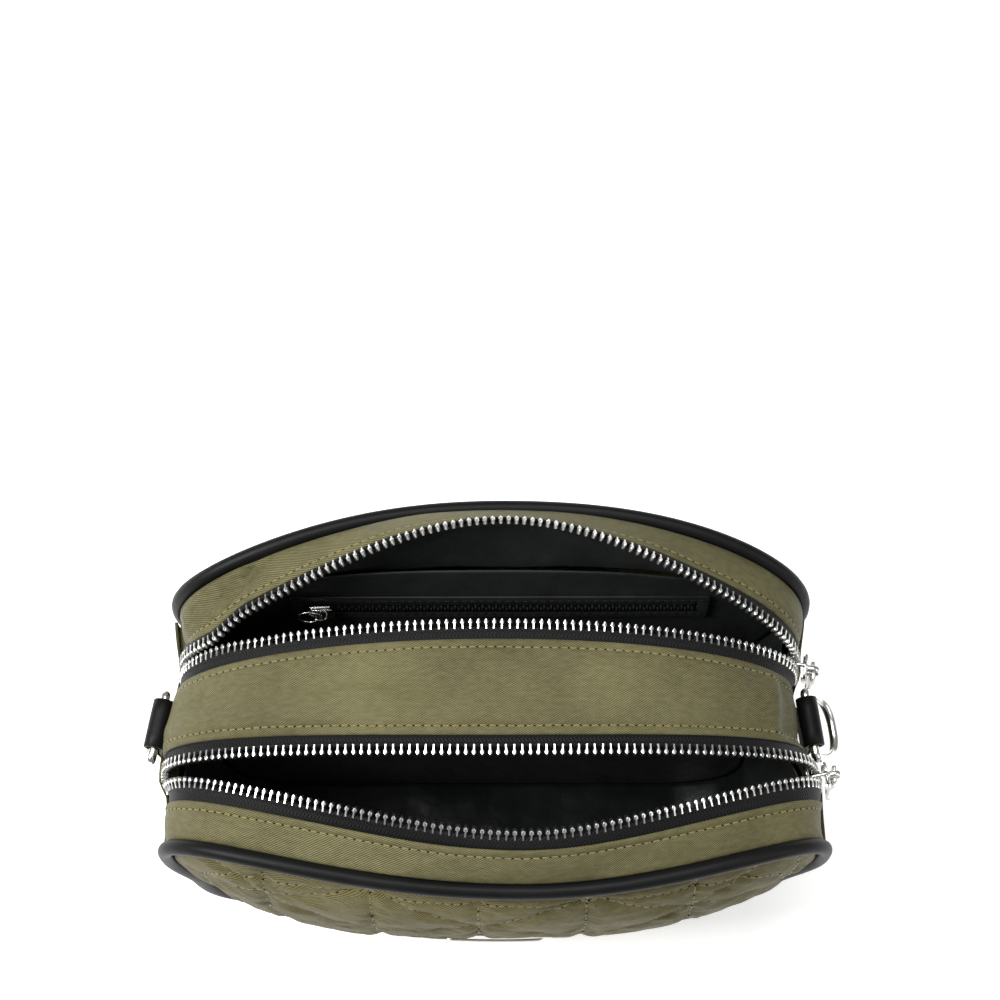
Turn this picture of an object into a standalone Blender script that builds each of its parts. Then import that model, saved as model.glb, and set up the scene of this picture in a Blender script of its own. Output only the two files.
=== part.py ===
"""Crossbody purse with two zipped compartments, both standing open.

Metres, +Z up, front towards -Y, right side towards +X. The origin is on the
underside of the base, in the middle of its width.
"""
import math

import bmesh
import bpy
import numpy as np
from mathutils import Matrix, Vector

MM = 0.001
FRONT = -1
BACK = 1

# Body outline, seen from the front
HALF_WIDTH = 107.0 * MM
TOP_HEIGHT = 134.0 * MM
WIDEST_HEIGHT = 83.0 * MM
SEAM_HEIGHT = 86.0 * MM
BASE_DIP = 3.0 * MM
BOTTOM_POWER = 5.0
SIDE_TAPER = 0.07
TAPER_HEIGHT = 50.0 * MM
BASE_SHIFT = -2.5 * MM
MIDDLE_POWER = 2.55
FRONT_POWER = 3.0
BACK_POWER = 2.8

# The slack sides: how far each is drawn in or out along the depth
RIGHT_FRONT_PUSH = 0.5 * MM
RIGHT_MIDDLE_PULL = 4.5 * MM
RIGHT_BACK_PULL = 2.2 * MM
RIGHT_TAB_DENT = 2.8 * MM
LEFT_MIDDLE_PULL = 1.8 * MM
LEFT_FRONT_PUSH = 3.0 * MM
SLACK_HEIGHT = 80.0 * MM

# Depth at the base, and how far each slack wall falls open at the top
FRONT_SEAM = 44.7 * MM
BACK_SEAM = 38.5 * MM
FRONT_LEAN = 17.5 * MM
BACK_LEAN = 23.8 * MM
FRONT_SAG = 14.0 * MM
BACK_SAG = 8.5 * MM
FRONT_SKEW = 9.0 * MM
BACK_SKEW = 3.0 * MM
FRONT_TILT = math.radians(44.0)
BACK_TILT = math.radians(62.0)
BELLY_HEIGHT = 62.0 * MM
BELLY_POWER = 2.2
FRONT_BELLY = 18.0 * MM
BACK_BELLY = 8.0 * MM

# Fabric, piping and zips
PIPING_RADIUS = 2.5 * MM
STRIP_WIDTH = 15.0 * MM
MIDDLE_HALF = 15.5 * MM
MIDDLE_FRONT_NARROWING = 3.0 * MM
MIDDLE_BACK_NARROWING = 5.8 * MM
CLOTH = 1.2 * MM
GUSSET_CLOTH = 1.5 * MM
GAP = 0.4 * MM
TAPE_THICK = 0.6 * MM
TAPE_DEPTH = 0.9 * MM
LIP_TAPE = 4.2 * MM
MIDDLE_TAPE = 3.2 * MM
TEETH_WIDE = 2.8 * MM
TEETH_THICK = 2.6 * MM
LINING = 0.8 * MM
COVER_CLEAR = PIPING_RADIUS + 2.0 * GAP
COVER_OUT = 1.0 * MM
COVER_IN = 0.2 * MM
PADDING_INSET = 4.4 * MM
PADDING_OUT = 0.7 * MM
PADDING_IN = 2.7 * MM
EDGE_CLEAR = PIPING_RADIUS + GAP

# Zip ends: below these heights the two rows of teeth run side by side
ROW_SPACING_RIGHT = 4.9 * MM
ROW_SPACING_LEFT = 3.4 * MM
CLOSED_HEIGHT_RIGHT = 95.5 * MM
CLOSED_HEIGHT_FRONT_LEFT = 88.0 * MM
CLOSED_HEIGHT_BACK_LEFT = 116.0 * MM
CLOSING_RUN = 9.0 * MM
BACK_LEFT_LIP_SHARE = 0.8

# Cloth folded over the zips' ends, on each side
END_COVER_TOP = 85.4 * MM
END_COVER_FOOT = 76.0 * MM
END_COVER_CLEAR = 4.5 * MM
END_COVER_LOW = 0.5 * MM
END_COVER_HIGH = 1.4 * MM
END_COVER_STEPS = 12

# Lining, divider and base board
BAND_INSET = 5.0 * MM
BAND_STEPS = 2
BAND_FROM_FRONT = 6.0 * MM
BAND_FROM_BACK = 7.5 * MM
BAND_FROM_MIDDLE = 4.2 * MM
DIVIDER_HALF = 0.7 * MM
WALL_INSET = 5.6 * MM
WALL_TOP_INSET = 3.0 * MM
FRONT_LINING_INSET = 8.0 * MM
FRONT_LINING_CLEAR = 3.6 * MM
FRONT_LINING_LEAN = -4.0 * MM
FRONT_DIVIDER_LINING = -3.2 * MM
BACK_DIVIDER_LINING = 2.4 * MM
BACK_LINING_INSET = 10.0 * MM
BACK_LINING_TOP_INSET = 14.0 * MM
BOARD_LOW = (-44.0 * MM, -36.0 * MM, 2.0 * MM)
BOARD_HIGH = (44.0 * MM, 30.0 * MM, 4.4 * MM)

# Sliders and pulls, in mm
SLIDER_HEIGHT = 93.5 * MM
SLIDER_HALF_LONG = 5.5
SLIDER_HALF_WIDE = 4.2
SLIDER_HALF_GAP = 2.6
SLIDER_PLATE = 1.0
CROWN_HALF_LONG = 3.0
CROWN_HALF_WIDE = 1.0
CROWN_HIGH = 4.4
CROWN_AXIS = SLIDER_HALF_GAP + SLIDER_PLATE + 2.1
PULL_LONG = 27.0
PULL_HALF_WIDE = 3.2
PULL_HALF_THICK = 0.65
PULL_BAR = 0.7
PULL_WINDOW = 6.0
PULL_REST = math.radians(3.0)

# Strap rings and their tabs
LEFT_RING_AXIS = Vector((-111.5, -1.6, 91.0)) * MM
RIGHT_RING_AXIS = Vector((105.1, -1.2, 91.0)) * MM
LEFT_RING_SKEW = math.radians(-9.5)
RIGHT_RING_SKEW = math.radians(7.0)
LEFT_RING_REST = math.radians(15.0)
RIGHT_RING_REST = math.radians(37.0)
RING_WIRE = 1.6 * MM
RING_HALF = 11.3 * MM
RING_DROP = 15.8 * MM
RING_SHOULDER = 2.2 * MM
RING_CORNER = 1.2 * MM
RING_BOW_POWER = 2.6
RING_SLIDE = -0.8 * MM
TAB_HALF_WIDE = 8.3 * MM
TAB_LOOP = 3.5 * MM
TAB_EYE = 2.2 * MM
TAB_TAIL = -16.0 * MM
TAB_TAIL_IN = -1.9 * MM
TAB_TAIL_OUT = -0.2 * MM

# Zipped pocket on the rear wall of the back compartment
POCKET_CENTRE = 2.0 * MM
POCKET_HALF = 66.0 * MM
POCKET_HEIGHT = 98.0 * MM
BACK_WALL_START = 32.0 * MM
BACK_WALL_LEAN = 11.0 * MM
POCKET_SLIDER_START = -60.0 * MM
POCKET_WELT = 4.0 * MM
POCKET_BAG_RISE = 6.0 * MM
POCKET_BAG_STEP = 12.0 * MM
POCKET_BAG_THICK = 1.0 * MM
POCKET_PULL_RADIUS = 3.9 * MM
POCKET_PULL_WIRE = 0.6 * MM
POCKET_PULL_LIFT = 4.7 * MM

# Name plate on the front panel
PLATE_HALF_WIDE = 16.0 * MM
PLATE_HALF_HIGH = 5.5 * MM
PLATE_HEIGHT = 61.0 * MM
PLATE_LOW = 1.5 * MM
PLATE_HIGH = 2.3 * MM
PLATE_COLUMNS = 9


def clear_scene():
    for obj in list(bpy.data.objects):
        bpy.data.objects.remove(obj, do_unlink=True)


def material(name, colour, roughness, metallic=0.0):
    made = bpy.data.materials.get(name)
    if made is None:
        made = bpy.data.materials.new(name)
        made.use_nodes = True
        shader = made.node_tree.nodes["Principled BSDF"]
        shader.inputs["Base Color"].default_value = (*colour, 1.0)
        shader.inputs["Roughness"].default_value = roughness
        shader.inputs["Metallic"].default_value = metallic
    return made


def olive_nylon():
    return material("olive_nylon", (0.125, 0.118, 0.055), 0.62)


def black_piping():
    return material("black_piping", (0.012, 0.012, 0.013), 0.55)


def black_tape():
    return material("black_tape", (0.010, 0.010, 0.011), 0.85)


def black_lining():
    return material("black_lining", (0.008, 0.008, 0.009), 0.45)


def padding_foam():
    return material("padding_foam", (0.55, 0.54, 0.50), 0.95)


def silver_metal():
    return material("silver_metal", (0.66, 0.65, 0.63), 0.25, 1.0)


def backing_board():
    return material("backing_board", (0.20, 0.19, 0.18), 0.85)


# ---------------------------------------------------------------- body shape

def signed_power(value, power):
    return math.copysign(abs(value) ** power, value)


def smooth(low, high, value):
    share = min(max((value - low) / (high - low), 0.0), 1.0)
    return share * share * (3.0 - 2.0 * share)


def outline_point(angle, top_power):
    """A point on a rounded outline, a little narrower below the seam."""
    upper = math.sin(angle) >= 0.0
    exponent = 2.0 / (top_power if upper else BOTTOM_POWER)
    rise = TOP_HEIGHT - WIDEST_HEIGHT if upper else WIDEST_HEIGHT + BASE_DIP
    z = WIDEST_HEIGHT + rise * signed_power(math.sin(angle), exponent)
    lower = smooth(WIDEST_HEIGHT, TAPER_HEIGHT, z)
    half_width = HALF_WIDTH * (1.0 - SIDE_TAPER * lower)
    x = half_width * signed_power(math.cos(angle), exponent) + BASE_SHIFT * lower
    return x, max(z, 0.0)


def outline_angle(top_power, height):
    """The angle at which the outline's right side passes a height."""
    if height < WIDEST_HEIGHT:
        share = (WIDEST_HEIGHT - height) / (WIDEST_HEIGHT + BASE_DIP)
        return -math.asin(share ** (BOTTOM_POWER / 2.0))
    share = (height - WIDEST_HEIGHT) / (TOP_HEIGHT - WIDEST_HEIGHT)
    return math.asin(share ** (top_power / 2.0))


def crowd(turn):
    """Draws evenly spread angles closer to the sides, top and base."""
    return turn - 0.24 * np.sin(4.0 * turn)


def outline_run(top_power, start, end, count):
    """Evenly spaced points (x, z, normal x, normal z) on the outline between two angles."""
    turns = np.linspace(-math.pi, 3.0 * math.pi, 4001)
    first, last = np.interp((start, end), crowd(turns), turns)
    raw = np.array([outline_point(angle, top_power) for angle in crowd(np.linspace(first, last, 2400))])
    step = np.hypot(*np.diff(raw, axis=0).T)
    along = np.concatenate([[0.0], np.cumsum(step)])
    wanted = np.linspace(0.0, along[-1], count)
    x = np.interp(wanted, along, raw[:, 0])
    z = np.interp(wanted, along, raw[:, 1])
    reach = along[-1] / (3.0 * count)
    x_slope = np.interp(wanted + reach, along, raw[:, 0]) - np.interp(wanted - reach, along, raw[:, 0])
    z_slope = np.interp(wanted + reach, along, raw[:, 1]) - np.interp(wanted - reach, along, raw[:, 1])
    length = np.hypot(x_slope, z_slope)
    turn = 1.0 if end > start else -1.0
    return list(zip(x, z, turn * z_slope / length, -turn * x_slope / length))


def top_run(top_power, count):
    """The arc over the top, from the left seam to the right seam."""
    edge = outline_angle(top_power, SEAM_HEIGHT)
    return outline_run(top_power, math.pi - edge, edge, count)


def lower_run(top_power, count):
    """The U from the left seam, round the base, to the right seam."""
    edge = outline_angle(top_power, SEAM_HEIGHT - GAP)
    return outline_run(top_power, math.pi - edge, 2.0 * math.pi + edge, count)


def full_run(top_power, count):
    return outline_run(top_power, 0.0, 2.0 * math.pi, count + 1)[:-1]


def swell(x, skew):
    reach = HALF_WIDTH - skew if x > skew else HALF_WIDTH + skew
    share = min(abs(x - skew) / reach, 1.0)
    return max(math.cos(0.5 * math.pi * share), 0.0)


def openness(side, x, z):
    """0 where a wall stands as sewn, 1 at the middle of its open top edge."""
    height = max(z, 0.0) / TOP_HEIGHT
    if side == FRONT:
        return swell(x, FRONT_SKEW) ** 0.9 * height ** 2
    power = 0.5 if x > BACK_SKEW else 0.8
    return swell(x, BACK_SKEW) ** power * height ** 2.4


def wall_depth(side, x, z):
    if side == FRONT:
        return -(FRONT_SEAM + FRONT_LEAN * openness(side, x, z))
    return BACK_SEAM + BACK_LEAN * openness(side, x, z)


def wall_sag(side, x, z):
    depth = FRONT_SAG if side == FRONT else BACK_SAG
    return depth * openness(side, x, z)


def wall_power(side):
    return FRONT_POWER if side == FRONT else BACK_POWER


def lip_tilt(side, x):
    if side == FRONT:
        return FRONT_TILT * swell(x, FRONT_SKEW) ** 2.1
    return BACK_TILT * swell(x, BACK_SKEW) ** 1.8


def right_pull(y):
    """The right side is drawn in behind the front zip, and dented where the tab sits."""
    drawn_in = (RIGHT_FRONT_PUSH + RIGHT_MIDDLE_PULL) * smooth(-21.0 * MM, -5.0 * MM, y)
    let_out = (RIGHT_MIDDLE_PULL - RIGHT_BACK_PULL) * smooth(20.0 * MM, 38.5 * MM, y)
    dent = smooth(-16.0 * MM, -8.0 * MM, y) - smooth(8.0 * MM, 17.0 * MM, y)
    return RIGHT_FRONT_PUSH - drawn_in + let_out - RIGHT_TAB_DENT * dent


def left_pull(y):
    """The left side slants: out by the front zip and in by the back one."""
    drawn_in = smooth(2.0 * MM, 16.0 * MM, y) - smooth(16.0 * MM, 34.0 * MM, y)
    pushed_out = smooth(-27.0 * MM, -19.0 * MM, y) - smooth(-15.0 * MM, 4.0 * MM, y)
    return LEFT_MIDDLE_PULL * drawn_in - LEFT_FRONT_PUSH * pushed_out


def side_pull(x, y, z):
    pull = right_pull(y) if x > 0.0 else left_pull(y)
    return pull * (abs(x) / HALF_WIDTH) ** 3 * smooth(0.0, SLACK_HEIGHT, z)


def place(x, y, z):
    return Vector((x + side_pull(x, y, z), y, z))


def lip_point(side, station, across, height):
    """A point on an open lip: across from the piping's centre, height off the cloth."""
    x, z, normal_x, normal_z = station
    tilt = lip_tilt(side, x)
    y = wall_depth(side, x, z)
    y += side * (height * math.sin(tilt) - across * math.cos(tilt))
    lift = across * math.sin(tilt) + height * math.cos(tilt)
    z_low = z - wall_sag(side, x, z)
    return place(x + normal_x * lift, y, z_low + normal_z * lift)


def middle_edge(side, x):
    narrowing = MIDDLE_FRONT_NARROWING if side == FRONT else MIDDLE_BACK_NARROWING
    return side * (MIDDLE_HALF - narrowing * (1.0 - swell(x, 0.0)))


def middle_point(station, y, height):
    x, z, normal_x, normal_z = station
    return place(x + normal_x * height, y, z + normal_z * height)


# ------------------------------------------------------------- mesh helpers

def add_object(name, mesh_data, look, origin=None):
    bmesh.ops.recalc_face_normals(mesh_data, faces=mesh_data.faces)
    if origin is not None:
        bmesh.ops.translate(mesh_data, vec=-Vector(origin), verts=mesh_data.verts)
    mesh = bpy.data.meshes.new(name)
    mesh_data.to_mesh(mesh)
    mesh_data.free()
    mesh.shade_smooth()
    mesh.set_sharp_from_angle(angle=math.radians(40.0))
    obj = bpy.data.objects.new(name, mesh)
    obj.data.materials.append(look)
    if origin is not None:
        obj.location = Vector(origin)
    bpy.context.collection.objects.link(obj)
    return obj


def skin_grid(data, rows, closed):
    """Quads between neighbouring rows of vertices."""
    count = len(rows)
    last = count if closed else count - 1
    for i in range(last):
        this, after = rows[i], rows[(i + 1) % count]
        for j in range(len(this) - 1):
            data.faces.new((this[j], this[j + 1], after[j + 1], after[j]))


def slab(name, stations, outer, inner, look, closed=False):
    """A sheet with thickness: outer and inner give each station's row of points."""
    data = bmesh.new()
    top = [[data.verts.new(p) for p in outer(s)] for s in stations]
    under = [[data.verts.new(p) for p in inner(s)] for s in stations]
    rings = [row + list(reversed(low)) + [row[0]] for row, low in zip(top, under)]
    skin_grid(data, rings, closed)
    if not closed:
        for end in (0, -1):
            for j in range(len(top[end]) - 1):
                data.faces.new((top[end][j], top[end][j + 1], under[end][j + 1], under[end][j]))
    return add_object(name, data, look)


def tube(name, points, radius, sides, look, origin=None):
    """A closed loop of round wire or cord through the points."""
    data = bmesh.new()
    rows = []
    for i, point in enumerate(points):
        ahead = points[(i + 1) % len(points)] - points[i - 1]
        ahead.normalize()
        level = ahead.cross(Vector((0.0, 1.0, 0.0)))
        if level.length < 0.3:
            level = ahead.cross(Vector((1.0, 0.0, 0.0)))
        level.normalize()
        other = ahead.cross(level)
        row = []
        for k in range(sides):
            turn = 2.0 * math.pi * k / sides
            row.append(data.verts.new(point + radius * (math.cos(turn) * level + math.sin(turn) * other)))
        rows.append(row + [row[0]])
    skin_grid(data, rows, True)
    return add_object(name, data, look, origin)


def disc(name, rim, centre, rings, surface, look):
    """A closed sheet over a rim: surface(x, z, share, face) gives a point on either face."""
    data = bmesh.new()
    faces = []
    for face in (0, 1):
        rows = []
        for k in range(1, rings + 1):
            share = k / rings
            row = []
            for x, z in rim:
                px = centre[0] + share * (x - centre[0])
                pz = centre[1] + share * (z - centre[1])
                row.append(data.verts.new(surface(px, pz, share, face)))
            rows.append(row + [row[0]])
        hub = data.verts.new(surface(centre[0], centre[1], 0.0, face))
        for j in range(len(rim)):
            data.faces.new((hub, rows[0][j], rows[0][j + 1]))
        skin_grid(data, rows, False)
        faces.append(rows[-1])
    skin_grid(data, faces, False)
    return add_object(name, data, look)


def prism(name, outer, inner, low, high, look, origin=None):
    """A profile in the XZ plane, with a hole of as many points, drawn out along Y."""
    data = bmesh.new()
    loops = []
    for outline, y in ((outer, low), (outer, high), (inner, high), (inner, low)):
        row = [data.verts.new((x, y, z)) for x, z in outline]
        loops.append(row + [row[0]])
    skin_grid(data, loops, True)
    return add_object(name, data, look, origin)


def box_mesh(data, low, high):
    corners = [(x, y, z) for x in (low[0], high[0]) for y in (low[1], high[1]) for z in (low[2], high[2])]
    verts = [data.verts.new(c) for c in corners]
    for face in ((0, 1, 3, 2), (4, 6, 7, 5), (0, 4, 5, 1), (2, 3, 7, 6), (0, 2, 6, 4), (1, 5, 7, 3)):
        data.faces.new([verts[i] for i in face])


def combine(name, solids, look, frame, operations):
    """Boolean of boxes given in mm, placed by a frame whose origin stays the object's own."""
    holders = []
    for index, (low, high) in enumerate(solids):
        data = bmesh.new()
        box_mesh(data, Vector(low) * MM, Vector(high) * MM)
        holders.append(add_object(name + "_solid_" + str(index), data, look))
    base = holders[0]
    for holder, operation in zip(holders[1:], operations):
        step = base.modifiers.new(operation, "BOOLEAN")
        step.operation = operation
        step.solver = "EXACT"
        step.object = holder
    graph = bpy.context.evaluated_depsgraph_get()
    mesh = bpy.data.meshes.new_from_object(base.evaluated_get(graph))
    for holder in holders:
        bpy.data.objects.remove(holder, do_unlink=True)
    mesh.name = name
    obj = bpy.data.objects.new(name, mesh)
    obj.matrix_world = frame
    if not mesh.materials:
        mesh.materials.append(look)
    bpy.context.collection.objects.link(obj)
    return obj


# ------------------------------------------------------------- soft goods

def panel(side, name, inset, near, far, belly, rings, look):
    """One layer of a front or back wall; near and far are its faces, inward from the seam."""
    rim = []
    for x, z, normal_x, normal_z in full_run(wall_power(side), 40):
        rim.append((x - inset * normal_x, max(z, PIPING_RADIUS) - inset * normal_z))

    def surface(x, z, share, face):
        depth = wall_depth(side, x, z) + side * belly * (1.0 - share ** BELLY_POWER)
        depth -= side * (far if face else near)
        return place(x, depth, z) - Vector((0.0, 0.0, wall_sag(side, x, z)))

    return disc(name, rim, (0.0, BELLY_HEIGHT), rings, surface, look)


def build_walls():
    for side, word, belly in ((FRONT, "front", FRONT_BELLY), (BACK, "back", BACK_BELLY)):
        panel(side, word + "_panel_cover", COVER_CLEAR, -COVER_OUT, COVER_IN, belly, 4, olive_nylon())
        panel(side, word + "_panel_padding", PADDING_INSET, PADDING_OUT, PADDING_IN, belly, 3, padding_foam())


def build_piping():
    for side, word in ((FRONT, "front"), (BACK, "back")):
        points = []
        for x, z, _, _ in full_run(wall_power(side), 40):
            point = place(x, wall_depth(side, x, z), z)
            point.z = max(z - wall_sag(side, x, z), PIPING_RADIUS)
            points.append(point)
        tube(word + "_piping", points, PIPING_RADIUS, 6, black_piping())


def lip_layer(side, name, starts, ends, low, high, steps, look, count=31):
    """starts and ends are (distance across, whether it gathers with the teeth)."""
    def row(station, height):
        move = row_gather(side, station, True)
        first = starts[0] + move * starts[1]
        last = ends[0] + move * ends[1]
        spans = [first + (last - first) * i / steps for i in range(steps + 1)]
        return [lip_point(side, station, across, height) for across in spans]

    return slab(name, top_run(wall_power(side), count), lambda s: row(s, high), lambda s: row(s, low), look)


def middle_layer(side, name, starts, ends, low, high, look, count=31):
    def row(station, height):
        edge = middle_edge(side, station[0])
        move = row_gather(side, station, False)
        outs = [reach + move * gathers for reach, gathers in (starts, ends)]
        return [middle_point(station, edge + side * out, height) for out in outs]

    return slab(name, top_run(MIDDLE_POWER, count), lambda s: row(s, high), lambda s: row(s, low), look)


def build_top_strips():
    for side, word in ((FRONT, "front"), (BACK, "back")):
        lip_layer(side, word + "_top_strip", (EDGE_CLEAR, 0), (STRIP_WIDTH, 1), -CLOTH, 0.0, 3, olive_nylon())

    def row(station, height):
        front, back = middle_edge(FRONT, station[0]), middle_edge(BACK, station[0])
        return [middle_point(station, front + (back - front) * i / 4, height) for i in range(5)]

    run = top_run(MIDDLE_POWER, 31)
    slab("middle_top_strip", run, lambda s: row(s, 0.0), lambda s: row(s, -CLOTH), olive_nylon())


def closing_share(side, station):
    """1 where a zip's two rows run side by side, 0 where the mouth sets them apart."""
    x, z = station[0], station[1]
    full = CLOSED_HEIGHT_RIGHT
    if x < 0.0:
        full = CLOSED_HEIGHT_BACK_LEFT if side == BACK else CLOSED_HEIGHT_FRONT_LEFT
    return 1.0 - smooth(full, full + CLOSING_RUN, z)


def row_gather(side, station, lip):
    """How far a row moves towards the other one near the zip's ends."""
    x, z = station[0], station[1]
    tilt = lip_tilt(side, x)
    lip_reach = STRIP_WIDTH + LIP_TAPE + GAP + 0.5 * TEETH_WIDE
    middle_reach = MIDDLE_TAPE + GAP + 0.5 * TEETH_WIDE
    lip_y = abs(wall_depth(side, x, z)) - lip_reach * math.cos(tilt)
    middle_y = abs(middle_edge(side, x)) + middle_reach
    spacing = ROW_SPACING_RIGHT if x > 0.0 else ROW_SPACING_LEFT
    part = 0.5
    if side == BACK and x < 0.0:
        part = BACK_LEFT_LIP_SHARE if lip else 1.0 - BACK_LEFT_LIP_SHARE
    return part * (lip_y - middle_y - spacing) * closing_share(side, station)


def build_zips():
    tape_low, tape_high = -TAPE_DEPTH, TAPE_THICK - TAPE_DEPTH
    teeth_low = 0.5 * (tape_low + tape_high - TEETH_THICK)
    teeth_high = teeth_low + TEETH_THICK
    for side, word in ((FRONT, "front"), (BACK, "back")):
        start, end = STRIP_WIDTH + GAP, STRIP_WIDTH + LIP_TAPE
        inner_end = MIDDLE_TAPE + GAP
        lip_layer(side, word + "_zip_outer_tape", (start, 1), (end, 1), tape_low, tape_high, 1, black_tape())
        lip_layer(side, word + "_zip_outer_teeth", (end + GAP, 1), (end + GAP + TEETH_WIDE, 1),
                  teeth_low, teeth_high, 1, silver_metal())
        middle_layer(side, word + "_zip_inner_tape", (GAP, 0), (MIDDLE_TAPE, 1), tape_low, tape_high,
                     black_tape())
        middle_layer(side, word + "_zip_inner_teeth", (inner_end, 1), (inner_end + TEETH_WIDE, 1),
                     teeth_low, teeth_high, silver_metal())


def lower_band(name, inset, thick, front_clear, back_clear, steps, look):
    """A U-shaped band under the body; a clear is from a wall's seam, or None to stop by the divider."""
    def row(station, depth):
        x, z, normal_x, normal_z = station
        front = BAND_FROM_MIDDLE if front_clear is None else wall_depth(FRONT, x, z) + front_clear
        back = -BAND_FROM_MIDDLE if back_clear is None else wall_depth(BACK, x, z) - back_clear
        ys = [front + (back - front) * i / steps for i in range(steps + 1)]
        return [place(x - normal_x * depth, y, z - normal_z * depth) for y in ys]

    run = lower_run(MIDDLE_POWER, 35)
    return slab(name, run, lambda s: row(s, inset), lambda s: row(s, inset + thick), look)


def build_lower_body():
    black = black_lining()
    lower_band("lower_gusset", 0.0, GUSSET_CLOTH, EDGE_CLEAR, EDGE_CLEAR, END_COVER_STEPS, olive_nylon())
    lower_band("front_lining_band", BAND_INSET, LINING, BAND_FROM_FRONT, None, BAND_STEPS, black)
    lower_band("back_lining_band", BAND_INSET, LINING, None, BAND_FROM_BACK, BAND_STEPS, black)


def build_base_board():
    data = bmesh.new()
    box_mesh(data, BOARD_LOW, BOARD_HIGH)
    add_object("base_board", data, backing_board())


def flat_wall(name, inset, top_inset, start, lean, thick, look):
    """An inner wall that depends on height alone, so that a zip on it can be straight."""
    rim = []
    for x, z, normal_x, normal_z in full_run(MIDDLE_POWER, 26):
        depth = inset + (top_inset - inset) * smooth(0.5 * TOP_HEIGHT, 0.8 * TOP_HEIGHT, z)
        rim.append((x - depth * normal_x, z - depth * normal_z))

    def surface(x, z, share, face):
        y = start + lean * (z / TOP_HEIGHT) ** 2 + (thick if face else 0.0)
        return place(x, y, z)

    return disc(name, rim, (0.0, BELLY_HEIGHT), 3, surface, look)


def back_wall_y(z):
    return BACK_WALL_START + BACK_WALL_LEAN * (z / TOP_HEIGHT) ** 2


def build_inner_walls():
    black = black_lining()
    front, divider = FRONT_LINING_CLEAR - FRONT_SEAM, 2.0 * DIVIDER_HALF
    flat_wall("front_lining_front_wall", FRONT_LINING_INSET, FRONT_LINING_INSET, front, FRONT_LINING_LEAN,
              LINING, black)
    flat_wall("front_lining_rear_wall", WALL_INSET, WALL_TOP_INSET, FRONT_DIVIDER_LINING, 0.0, LINING, black)
    flat_wall("divider", WALL_INSET, WALL_TOP_INSET, -DIVIDER_HALF, 0.0, divider, backing_board())
    flat_wall("back_lining_front_wall", WALL_INSET, WALL_TOP_INSET, BACK_DIVIDER_LINING, 0.0, LINING, black)
    flat_wall("back_lining_rear_wall", BACK_LINING_INSET, BACK_LINING_TOP_INSET, BACK_WALL_START,
              BACK_WALL_LEAN, LINING, black)


# ------------------------------------------------------------- end covers

def build_end_covers():
    top, foot = outline_angle(MIDDLE_POWER, END_COVER_TOP), outline_angle(MIDDLE_POWER, END_COVER_FOOT)
    for name, start, end in (("left_zip_end_cover", math.pi - top, math.pi - foot),
                             ("right_zip_end_cover", foot, top)):
        def row(station, height):
            x, z, normal_x, normal_z = station
            front = wall_depth(FRONT, x, z) + END_COVER_CLEAR
            back = wall_depth(BACK, x, z) - END_COVER_CLEAR
            ys = [front + (back - front) * i / END_COVER_STEPS for i in range(END_COVER_STEPS + 1)]
            return [place(x + normal_x * height, y, z + normal_z * height) for y in ys]

        run = outline_run(MIDDLE_POWER, start, end, 6)
        slab(name, run, lambda s: row(s, END_COVER_HIGH), lambda s: row(s, END_COVER_LOW), olive_nylon())


# ---------------------------------------------------------------- hardware

def frame_from(origin, x_axis, y_axis, z_axis):
    turn = Matrix((x_axis, y_axis, z_axis)).transposed().to_4x4()
    return Matrix.Translation(origin) @ turn


def row_centre(side, lip, height):
    """The middle of a row of teeth on the right side, at a height."""
    power = wall_power(side) if lip else MIDDLE_POWER
    angle = outline_angle(power, height)
    station = outline_run(power, angle + 0.02, angle - 0.02, 3)[1]
    move = row_gather(side, station, lip)
    if lip:
        across = STRIP_WIDTH + LIP_TAPE + GAP + 0.5 * TEETH_WIDE + move
        return lip_point(side, station, across, -0.6 * MM)
    out = MIDDLE_TAPE + GAP + 0.5 * TEETH_WIDE + move
    return middle_point(station, middle_edge(side, station[0]) + side * out, -0.6 * MM)


def slider_frame(side):
    """Local X runs up the zip, Y across it and Z away from the bag."""
    centres = []
    for height in (SLIDER_HEIGHT - 4.0 * MM, SLIDER_HEIGHT, SLIDER_HEIGHT + 4.0 * MM):
        lip, middle = row_centre(side, True, height), row_centre(side, False, height)
        centres.append((lip, middle))
    middles = [0.5 * (lip + middle) for lip, middle in centres]
    along = (middles[2] - middles[0]).normalized()
    across = (centres[1][1] - centres[1][0]) * -side
    across = (across - across.dot(along) * along).normalized()
    if across.y < 0.0:
        across = -across
    outward = along.cross(across)
    if outward.x < 0.0:
        across = -across
        outward = -outward
    return frame_from(middles[1], along, across, outward)


def build_main_slider(side, word):
    """Two plates joined by a post between the rows of teeth, with an arched crown on top."""
    frame = slider_frame(side)
    half, wide, gap = SLIDER_HALF_LONG, SLIDER_HALF_WIDE, SLIDER_HALF_GAP
    crown, crown_wide = CROWN_HALF_LONG, CROWN_HALF_WIDE
    top = gap + SLIDER_PLATE
    solids = (
        ((-half, -wide, gap), (half, wide, top)),
        ((-half, -wide, -top), (half, wide, -gap)),
        ((half - 2.4, -0.6, -gap - 0.2), (half - 0.1, 0.6, gap + 0.2)),
        ((-crown, -crown_wide, top - 0.2), (crown, crown_wide, top + CROWN_HIGH)),
        ((1.1 - crown, -2.0 * crown_wide, top + 0.3),
         (crown - 1.1, 2.0 * crown_wide, top + CROWN_HIGH - 1.0)),
    )
    combine(word + "_slider", solids, silver_metal(), frame, ("UNION", "UNION", "UNION", "DIFFERENCE"))
    build_main_pull(frame, word)


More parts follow.
